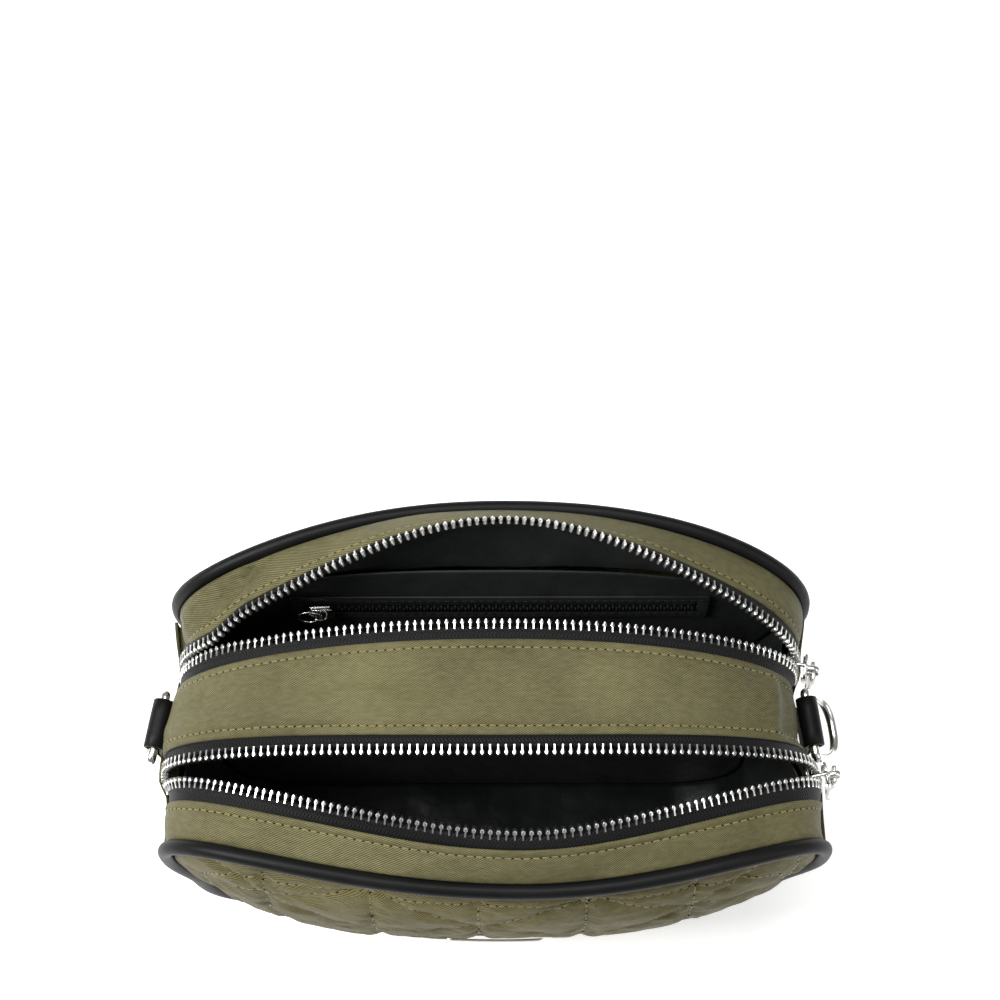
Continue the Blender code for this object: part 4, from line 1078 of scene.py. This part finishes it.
def build_gusset():
    """The cloth band round the sides and base, slightly slack between the pipings."""
    rings = []
    shares = [0.0, 0.015, 0.05] + list(np.linspace(0.12, 0.88, 18)) + [0.95, 0.985, 1.0]
    for station in lower_run(MIDDLE_POWER, 300, SEAM_HEIGHT - 0.2 * MM):
        x, z, normal_x, normal_z = station
        front = wall_depth(FRONT, x, z) + PIPING_RADIUS - 0.3 * MM
        back = wall_depth(BACK, x, z) - PIPING_RADIUS + 0.3 * MM
        ring = []
        for share in shares:
            y = front + (back - front) * share
            slack = smooth(0.0, 0.12, share) * smooth(1.0, 0.88, share)
            up = smooth(4.0 * MM, 30.0 * MM, z)
            long, short = wave(51, 20.0 * x, 26.0 * y, 34.0 * z), wave(53, 60.0 * x, 70.0 * y, 80.0 * z)
            dent = 0.6 * MM + 2.6 * MM * long + 0.9 * MM * short
            seam = 1.0 - smooth(0.0, 0.02, share) * smooth(1.0, 0.98, share)
            depth = max(SEAM_DENT, slack * dent * up) + 0.5 * MM * seam
            ring.append(place(x - normal_x * depth, y, z - normal_z * depth))
        for share in (0.99, 0.75, 0.5, 0.25, 0.01):
            y = front + (back - front) * share
            ring.append(place(x - normal_x * GUSSET_THICK, y, z - normal_z * GUSSET_THICK))
        rings.append(ring)
    made = loft("side_and_base_cloth", rings, OLIVE)
    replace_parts(made, "lower_gusset")


def build_end_cover(word, sign):
    """The folded cloth over both zips' ends, a little crumpled, standing off at its edges."""
    top = outline_angle(MIDDLE_POWER, COVER_TOP + 2.0 * MM)
    foot = outline_angle(MIDDLE_POWER, COVER_FOOT)
    start, end = (math.pi - top, math.pi - foot) if sign < 0 else (foot, top)
    rings = []
    for station in outline_run(MIDDLE_POWER, start, end, 40):
        x, z, normal_x, normal_z = station
        front = wall_depth(FRONT, x, z) + 3.6 * MM
        back = wall_depth(BACK, x, z) - 3.6 * MM
        outer, inner = [], []
        for share in np.linspace(0.0, 1.0, 30):
            y = front + (back - front) * share
            edge = (2.0 * share - 1.0) ** 6
            wide = 0.5 * MM if sign < 0.0 else 0.1 * MM
            flare = 0.6 * MM + 0.35 * MM * wave(61 + sign, 70.0 * y, 26.0 * z) + edge * wide
            outer.append(place(x + normal_x * (flare + 0.5 * MM), y, z + normal_z * (flare + 0.5 * MM)))
            inner.append(place(x + normal_x * (flare - 0.5 * MM), y, z + normal_z * (flare - 0.5 * MM)))
        rings.append(outer + inner[::-1])
    made = loft(word + "_end_cover", rings, OLIVE)
    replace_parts(made, word + "_zip_end_cover")


# ------------------------------------------------------------------ lining

def build_wall(name, nodes, top_inset, wall_y, fold, seed):
    """A hanging sheet of lining: wall_y(x, z) places it, fold is how far its waves stand out."""
    rim = []
    for x, z, normal_x, normal_z in full_run(MIDDLE_POWER, 120):
        up = min(max((z - 0.5 * TOP_HEIGHT) / (0.3 * TOP_HEIGHT), 0.0), 1.0)
        depth = LINING_INSET + (top_inset - LINING_INSET) * up
        rim.append((x - depth * normal_x, z - depth * normal_z))
    rings = 36
    verts, cloth = [], []
    for thick in (0.0, LINING_THICK):
        for k in range(1, rings + 1):
            share = k / rings
            calm = smooth(1.0, 0.85, share)
            for rim_x, rim_z in rim:
                x, z = share * rim_x, BELLY_HEIGHT + share * (rim_z - BELLY_HEIGHT)
                waves = wave(seed, 30.0 * x, 12.0 * z) + 0.5 * wave(seed + 1, 75.0 * x, 40.0 * z)
                verts.append(place(x, wall_y(x, z) + fold * calm * waves + thick, z))
                cloth.append((x, z, 0.0))
        bulge = fold * wave(seed, 0.0, 12.0 * BELLY_HEIGHT)
        verts.append(place(0.0, wall_y(0.0, BELLY_HEIGHT) + bulge + thick, BELLY_HEIGHT))
        cloth.append((0.0, BELLY_HEIGHT, 0.0))
    made = piece(name, verts, disc_faces(rings, len(rim)), LINING, BAG, cloth)
    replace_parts(made, *nodes)


def build_band(name, node, front_at, back_at, seed):
    """The lining's sides and floor between two walls."""
    rings = []
    for station in lower_run(MIDDLE_POWER, 160, SEAM_HEIGHT + 2.0 * MM):
        x, z, normal_x, normal_z = station
        front, back = front_at(x, z), back_at(x, z)
        outer, inner = [], []
        for share in np.linspace(0.0, 1.0, 16):
            y = front + (back - front) * share
            calm = smooth(0.0, 0.2, share) * smooth(1.0, 0.8, share)
            dent = calm * (2.2 * MM * wave(seed, 26.0 * x, 40.0 * y, 26.0 * z) + 0.6 * MM)
            depth = 5.0 * MM + max(dent, -0.6 * MM)
            far = depth + BAND_THICK
            inner.append(place(x - normal_x * far, y, z - normal_z * far))
            outer.append(place(x - normal_x * depth, y, z - normal_z * depth))
        rings.append(inner + outer[::-1])
    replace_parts(loft(name, rings, LINING), node)


def lip_lining_ends(side, station):
    """Where a lip's lining starts under the tape and ends on the wall behind it."""
    start = lip_point(side, station, STRIP_WIDTH + LIP_TAPE - 2.0 * MM, -1.6 * MM)
    x, z = 0.97 * station[0], station[1] - 14.0 * MM
    end = place(x, wall_depth(side, x, z) - side * 4.0 * MM, z - wall_sag(side, x, z))
    end.y = front_lining_y(x, z) + 2.4 * MM if side == FRONT else min(end.y, back_wall_y(z) + 5.0 * MM)
    return start, end


def middle_lining_ends(side, station):
    """Where the middle strip's lining starts under the tape and ends beside the divider."""
    start = middle_point(station, middle_edge(side, station[0]) + side * 1.0 * MM, -1.6 * MM)
    return start, place(0.97 * station[0], side * 4.2 * MM, station[1] - 16.0 * MM)


def hanging_lining(name, side, power, ends, thick):
    """The lining from a zip's tape down to the wall behind it; thick leads from its face to its back."""
    rings = []
    for station in top_run(power, 160, SEAM_HEIGHT + 1.0 * MM):
        start, end = ends(side, station)
        outer = []
        for k in range(9):
            share = k / 8.0
            here = start.lerp(end, share)
            here.z -= 2.0 * MM * math.sin(math.pi * share)
            here.y += 1.2 * MM * share * wave(71 + side, 34.0 * station[0], 3.0 * share)
            outer.append(here)
        rings.append(outer + [here + thick for here in reversed(outer)])
    loft(name, rings, LINING)


def front_lining_y(x, z):
    """Where the lining's front sheet hangs, behind the belly's wadding."""
    return 3.6 * MM + wall_depth(FRONT, x, z) * 0.93 - 3.0 * MM * smooth(0.0, 60.0 * MM, z)


def build_linings():
    """Each compartment's walls, its sides and floor, and the lining that hangs from the zips."""
    build_wall("front_lining_sheet", ["front_lining_front_wall"], 8.0 * MM, front_lining_y, 1.8 * MM, 81)
    build_wall("front_divider_lining", ["front_lining_rear_wall"], 4.4 * MM,
               lambda x, z: SHEET_FRONT_Y, 0.5 * MM, 83)
    build_wall("back_divider_lining", ["back_lining_front_wall"], 4.4 * MM,
               lambda x, z: SHEET_BACK_Y, 0.5 * MM, 85)
    build_wall("back_lining_sheet", ["back_lining_rear_wall", "pocket_bag"], 11.0 * MM,
               lambda x, z: back_wall_y(z), 0.35 * MM, 87)
    build_band("front_lining_floor", "front_lining_band",
               lambda x, z: front_lining_y(x, z) - 0.8 * MM, lambda x, z: BAND_FRONT_Y, 91)
    build_band("back_lining_floor", "back_lining_band",
               lambda x, z: SHEET_BACK_Y, lambda x, z: back_wall_y(z) + 0.8 * MM, 93)
    for side, word in ((FRONT, "front"), (BACK, "back")):
        hanging_lining(word + "_lip_lining", side, wall_power(side), lip_lining_ends,
                       Vector((0.0, side * -0.5 * MM, -0.2 * MM)))
        hanging_lining(word + "_middle_lining", side, MIDDLE_POWER, middle_lining_ends,
                       Vector((0.0, 0.25 * MM, 0.5 * MM)))


# ---------------------------------------------------------------- hardware

def frame_from(origin, x_axis, y_axis, z_axis):
    """A matrix that places local axes at an origin."""
    turn = Matrix((x_axis, y_axis, z_axis)).transposed().to_4x4()
    return Matrix.Translation(origin) @ turn


def row_centre(side, lip, height):
    """The middle of a row of teeth at a height on the right side."""
    power = wall_power(side) if lip else MIDDLE_POWER
    angle = outline_angle(power, height)
    station = outline_run(power, angle + 0.02, angle - 0.02, 3, 0.1 * MM)[1]
    move = row_gather(side, station, lip)
    if lip:
        return lip_point(side, station, STRIP_WIDTH + LIP_TAPE + GAP + 0.5 * TEETH_WIDE + move, -0.6 * MM)
    out = MIDDLE_TAPE + GAP + 0.5 * TEETH_WIDE + move
    return middle_point(station, middle_edge(side, station[0]) + side * out, -0.6 * MM)


def slider_frame(side):
    """Local X runs up the zip, Y across it and Z away from the bag, from the slider's middle."""
    middles = []
    for height in (SLIDER_HEIGHT - 4.0 * MM, SLIDER_HEIGHT + 4.0 * MM):
        middles.append(0.5 * (row_centre(side, True, height) + row_centre(side, False, height)))
    along = (middles[1] - middles[0]).normalized()
    lip, middle = row_centre(side, True, SLIDER_HEIGHT), row_centre(side, False, SLIDER_HEIGHT)
    across = middle - lip
    across = (across - across.dot(along) * along).normalized()
    outward = along.cross(across)
    if outward.x < 0.0:
        across, outward = -across, -outward
    return frame_from(0.5 * (lip + middle), along, across, outward)


def slider_outline(nose):
    """A shield: broad where the two rows part, narrow where they close."""
    return mirrored(SLIDER_HALF) + ([((SLIDER_HALF[0][0] - nose) * MM, 0.0)] if nose else [])


def build_slider(side, word):
    """Two shields on a post, their rails, and a crown that holds the pull."""
    where = slider_frame(side)
    body = word + "_slider_body"
    lift = SLIDER_HALF_GAP + 0.5 * SLIDER_PLATE
    top, _ = [cut_plate(word + name, [slider_outline(0.9)], SLIDER_PLATE, 0.32 * MM,
                        where @ Matrix.Translation((0.0, 0.0, z)), SILVER, body)
              for name, z in (("_slider_top", lift), ("_slider_under", -lift))]
    parts = [tube([Vector((4.4, 0.0, z)) * MM for z in (-2.8, -1.4, 0.0, 1.4, 2.8)], 0.65 * MM, 10)]
    for sign in (-1.0, 1.0):
        for z in (-2.3, 2.3):
            parts.append(tube([Vector((x, sign * y, z)) * MM for x, y in SLIDER_RAIL], 0.42 * MM, 8))
    parts.append(tube(arch_points(2.55, 3.4, 4.1, 0.5, 0.55, 13), 0.5 * MM, 12, 2.1))
    for x in (-3.1, 3.1):
        foot = [Vector((x, 0.0, z)) * MM for z in (3.5, 3.8, 4.2)]
        parts.append(tube(foot, [1.1 * MM, 1.05 * MM, 0.6 * MM], 12))
    verts, faces = merge(parts)
    verts = [where @ Vector(v) for v in verts]
    piece(word + "_slider_crown", verts, faces, SILVER, body, flat=40.0)
    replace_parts(top, word + "_slider")
    build_pull(word, where)


def build_pull(word, where):
    """A flat tab on the crown: a window at its top, a waist, a broad end with a hole."""
    origin = where @ Vector((0.0, 0.0, CROWN_AXIS))
    down = Vector((math.sin(PULL_REST), 0.0, -math.cos(PULL_REST)))
    across = Vector((0.0, 1.0, 0.0))
    turned = frame_from(origin, down, across, down.cross(across))
    window = rounded_box(2.6 * MM, 1.75 * MM, 0.7 * MM, 4, 3.35 * MM)
    hole = rounded_box(1.5 * MM, 1.5 * MM, 1.49 * MM, 6, 23.2 * MM)
    outlines = [mirrored(PULL_HALF), window, hole]
    made = cut_plate(word + "_pull_tab", outlines, 1.3 * MM, 0.4 * MM, turned, SILVER, word + "_pull_body")
    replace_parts(made, word + "_pull")


def ring_frame(sign):
    """At the middle of a tab's eye: the ring's bar is along Y, and X times sign points away from the bag."""
    axis, skew = (LEFT_RING_AXIS, LEFT_RING_SKEW) if sign < 0 else (RIGHT_RING_AXIS, RIGHT_RING_SKEW)
    return Matrix.Translation(axis) @ Matrix.Rotation(skew, 4, "Z")


def build_ring(word, sign, rest):
    """A D of thick wire: a straight bar through the tab and a round bow."""
    bar = RING_HALF - RING_CORNER
    flat = [(bar * share, 0.0) for share in np.linspace(-1.0, 1.0, 13)]
    for turn in np.linspace(0.5 * math.pi, 0.0, 5)[1:-1]:
        flat.append((bar + RING_CORNER * math.cos(turn), RING_CORNER * (math.sin(turn) - 1.0)))
    bow = 2.0 / RING_BOW_POWER
    for turn in np.linspace(0.0, math.pi, 45):
        drop = -RING_SHOULDER - (RING_DROP - RING_SHOULDER) * signed_power(math.sin(turn), bow)
        flat.append((RING_HALF * signed_power(math.cos(turn), bow), drop))
    for turn in np.linspace(math.pi, 0.5 * math.pi, 5)[1:-1]:
        flat.append((RING_CORNER * math.cos(turn) - bar, RING_CORNER * (math.sin(turn) - 1.0)))
    where = ring_frame(sign)
    points = []
    for y, drop in flat:
        out, low = -sign * drop * math.sin(rest), drop * math.cos(rest)
        points.append(where @ Vector((out, y + RING_SLIDE, low)))
    normal = where.to_3x3() @ Vector((math.cos(rest), 0.0, sign * math.sin(rest)))
    rings = tube_rings(points, RING_WIRE, 16, True, 1.0, normal)
    made = loft(word + "_strap_ring", rings, SILVER, True, word + "_ring_body")
    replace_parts(made, word + "_ring")


def build_tab(word, sign):
    """A strap folded round the ring's bar, both ends down in the side seam, with a seam across it."""
    where = ring_frame(sign)
    line = list(TAB_INNER_TAIL)
    for turn in np.linspace(math.radians(212.0), math.radians(-32.0), 21):
        line.append((TAB_EYE * math.cos(turn), TAB_EYE * math.sin(turn), 1.0))
    line += TAB_OUTER_TAIL
    rings = []
    count = len(line)
    for i, (x, z, slim) in enumerate(line):
        after, before = line[min(i + 1, count - 1)], line[max(i - 1, 0)]
        ahead = Vector((after[0] - before[0], after[1] - before[1])).normalized()
        ring = []
        for y, t in TAB_SECTION:
            shift = t * slim * TAB_THICK
            local = Vector((sign * (x - ahead.y * shift), TAB_HALF_WIDE * y, z + ahead.x * shift)) * MM
            ring.append(where @ local)
        rings.append(ring)
    made = loft(word + "_strap_tab", rings, TAB, flat=60.0)
    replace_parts(made, word + "_ring_tab")
    outward = where.to_3x3() @ Vector((sign, 0.0, 0.1))
    path = [(where @ (Vector((sign * 0.95, y, -6.4)) * MM), outward) for y in np.linspace(-7.0, 7.0, 20)]
    stitch_line([path], word + "_strap_tab_stitches", BLACK_THREAD, BLACK_THREAD)


def build_plate():
    """A thin blank plate on the front of the belly, curved with it, with rounded edges."""
    table = rim_rays(panel_rim(FRONT, PIPING_RADIUS + 0.5 * MM, 200))
    rings = []
    for i in range(PLATE_COLUMNS):
        x = PLATE_HALF_WIDE * math.sin(0.5 * math.pi * (2.0 * i / (PLATE_COLUMNS - 1) - 1.0))
        reach = abs(x) / PLATE_HALF_WIDE
        high = (1.0 - 0.10 * smooth(0.93, 1.0, reach)) * PLATE_HALF_HIGH
        thick = 1.0 - 0.5 * smooth(0.97, 1.0, reach)
        rings.append([panel_point(FRONT, table, x, PLATE_HEIGHT + high * v,
                                  PLATE_FOOT * MM + (h - PLATE_FOOT) * thick * MM) for v, h in PLATE_SECTION])
    made = loft("front_plate", rings, PLATE, flat=35.0)
    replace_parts(made, "name_plate")


# ------------------------------------------------------------------ pocket

def pocket_frame():
    """Local X runs along the pocket zip, Y up the wall and Z into the compartment."""
    slope = 2.0 * BACK_WALL_LEAN * POCKET_HEIGHT / TOP_HEIGHT ** 2
    up = Vector((0.0, slope, 1.0)).normalized()
    along = Vector((1.0, 0.0, 0.0))
    origin = Vector((POCKET_CENTRE, back_wall_y(POCKET_HEIGHT), POCKET_HEIGHT))
    return frame_from(origin, along, up, along.cross(up))


def build_pocket():
    """The inner pocket's frame, its two tapes and coil, its seams and its slider."""
    where = pocket_frame()
    half = POCKET_HALF
    outer = rounded_box(half + 4.0 * MM, 8.0 * MM, 1.2 * MM, 4)
    inner = rounded_box(half, 4.0 * MM, 0.8 * MM, 4)
    lifted = where @ Matrix.Translation((0, 0, 0.85 * MM))
    welt = cut_plate("pocket_frame", [outer, inner], 0.7 * MM, 0.25 * MM, lifted, LINING, BAG)
    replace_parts(welt, "pocket_welt")
    for word, sign in (("upper", 1.0), ("lower", -1.0)):
        rings = [[where @ Vector((x, sign * y * MM, z * MM)) for y, z in POCKET_TAPE]
                 for x in np.linspace(-half + 0.4 * MM, half - 0.4 * MM, 120)]
        tape = loft("pocket_" + word + "_weave", rings, TAPE)
        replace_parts(tape, "pocket_" + word + "_tape")
    parts = []
    for number, x in enumerate(np.arange(-half + 1.5 * MM, half - 1.5 * MM, 1.15 * MM)):
        sign = 1.0 if number % 2 else -1.0
        turns = ((0.0, 1.5, 0.9), (0.0, 0.9, 1.7), (0.1, -0.1, 1.9), (0.1, -0.5, 1.4))
        coil = [where @ Vector((x + a * MM, sign * y * MM, z * MM)) for a, y, z in turns]
        parts.append(tube(coil, 0.34 * MM, 6, 1.0, (1, 0, 0)))
    verts, faces = merge(parts)
    coil = piece("pocket_coil", verts, faces, BLACK_THREAD)
    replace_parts(coil, "pocket_teeth")
    up = where.to_3x3() @ Vector((0.0, 0.0, 1.0))
    spots = np.linspace(-half - 3.0 * MM, half + 3.0 * MM, 90)
    seams = [[(where @ Vector((x, y, 1.2 * MM)), up) for x in spots] for y in (5.2 * MM, -5.2 * MM)]
    stitch_line(seams, "pocket_stitches", BLACK_THREAD, BLACK_THREAD)
    build_pocket_slider(where)


def build_pocket_slider(where):
    """A small slider with a crown, and the ring that pulls it."""
    low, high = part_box("pocket_slider")
    local_x = (where.inverted() @ (0.5 * (low + high))).x
    here, body = where @ Matrix.Translation((local_x, 0.0, 0.0)), "pocket_slider_body"
    above = here @ Matrix.Translation((0.0, 0.0, 3.1 * MM)) @ Matrix.Diagonal((0.74, 0.76, 1.0, 1.0))
    top = cut_plate("pocket_slider_top", [slider_outline(0.0)], 0.9 * MM, 0.28 * MM, above, SILVER, body)
    parts = []
    for sign in (-1.0, 1.0):
        wall = [Vector((x, sign * y, 2.2)) * MM for x, y in ((3.0, 2.9), (0.0, 2.7), (-3.4, 2.3))]
        parts.append(tube(wall, 0.55 * MM, 8))
    parts.append(tube(arch_points(1.9, 3.3, 2.7, 0.6, 0.6, 11), 0.42 * MM, 10, 1.7))
    verts, faces = merge(parts)
    verts = [here @ Vector(v) for v in verts]
    piece("pocket_slider_crown", verts, faces, SILVER, body, flat=40.0)
    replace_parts(top, "pocket_slider")
    ring_low, ring_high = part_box("pocket_pull")
    side = -1.0 if ring_low.x + ring_high.x < low.x + high.x else 1.0
    radius = 3.9 * MM
    points = []
    for turn in np.linspace(0.0, 2.0 * math.pi, 36, endpoint=False):
        squeeze = 1.0 - 0.18 * max(math.cos(turn), 0.0)
        out = side * (radius - radius * math.cos(turn))
        points.append(here @ Vector((out, squeeze * radius * math.sin(turn), 4.7 * MM)))
    rings = tube_rings(points, 0.6 * MM, 10, True)
    made = loft("pocket_pull_ring", rings, SILVER, True, "pocket_pull_body")
    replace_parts(made, "pocket_pull")


# ------------------------------------------------------------------- stage

def build_stage():
    """A pale floor, an even white sky and three soft lamps."""
    floor_shader = Shader("pale_floor", Base_Color=(0.86, 0.86, 0.855), Roughness=0.9, Specular_IOR_Level=0.1,
                          Emission_Color=(1.0, 1.0, 1.0), Emission_Strength=0.50)
    size = 3.0
    corners = [(-size, -size, 0.0), (size, -size, 0.0), (size, size, 0.0), (-size, size, 0.0)]
    mesh = bpy.data.meshes.new("floor")
    mesh.from_pydata(corners, [], [(0, 1, 2, 3)])
    mesh.materials.append(floor_shader.made)
    floor = bpy.data.objects.new("floor", mesh)
    floor.location.z = CAD_LOW.z - 0.2 * MM
    bpy.context.scene.collection.objects.link(floor)
    world = bpy.data.worlds.new("studio")
    world.use_nodes = True
    sky = world.node_tree.nodes["Background"].inputs
    sky["Color"].default_value = (1.0, 1.0, 1.0, 1.0)
    sky["Strength"].default_value = 0.26
    bpy.context.scene.world = world
    for name, spot, size_x, size_y, power in LAMPS:
        light = bpy.data.lights.new(name, "AREA")
        light.shape = "RECTANGLE"
        light.size, light.size_y, light.energy = size_x, size_y, power
        lamp = bpy.data.objects.new(name, light)
        lamp.location = spot
        aim = LAMP_AIM - Vector(spot)
        lamp.rotation_euler = aim.to_track_quat("-Z", "Y").to_euler()
        bpy.context.scene.collection.objects.link(lamp)
    bpy.context.scene.view_settings.view_transform = "Standard"


def keep_cad_nodes():
    """The stiffeners inside keep their CAD shape, in pressed board."""
    for name in ("divider", "base_board"):
        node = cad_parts[name]
        node.data.materials.clear()
        node.data.materials.append(BOARD)


build_camera()
build_stage()
keep_cad_nodes()
for side, word, rings, around in ((FRONT, "front", 96, 380), (BACK, "back", 48, 220)):
    build_panel(side, word, rings, around)
    build_piping(side, word)
    build_zip(side, word)
    build_slider(side, word)
seam_paths = [build_lip_strip(FRONT, "front"), build_lip_strip(BACK, "back"), *build_middle_strip()]
stitch_line(seam_paths, "strip_stitches")
build_gusset()
for word, sign, rest in (("left", -1.0, LEFT_RING_REST), ("right", 1.0, RIGHT_RING_REST)):
    build_end_cover(word, sign)
    build_ring(word, sign, rest)
    build_tab(word, sign)
build_linings()
build_pocket()
build_plate()
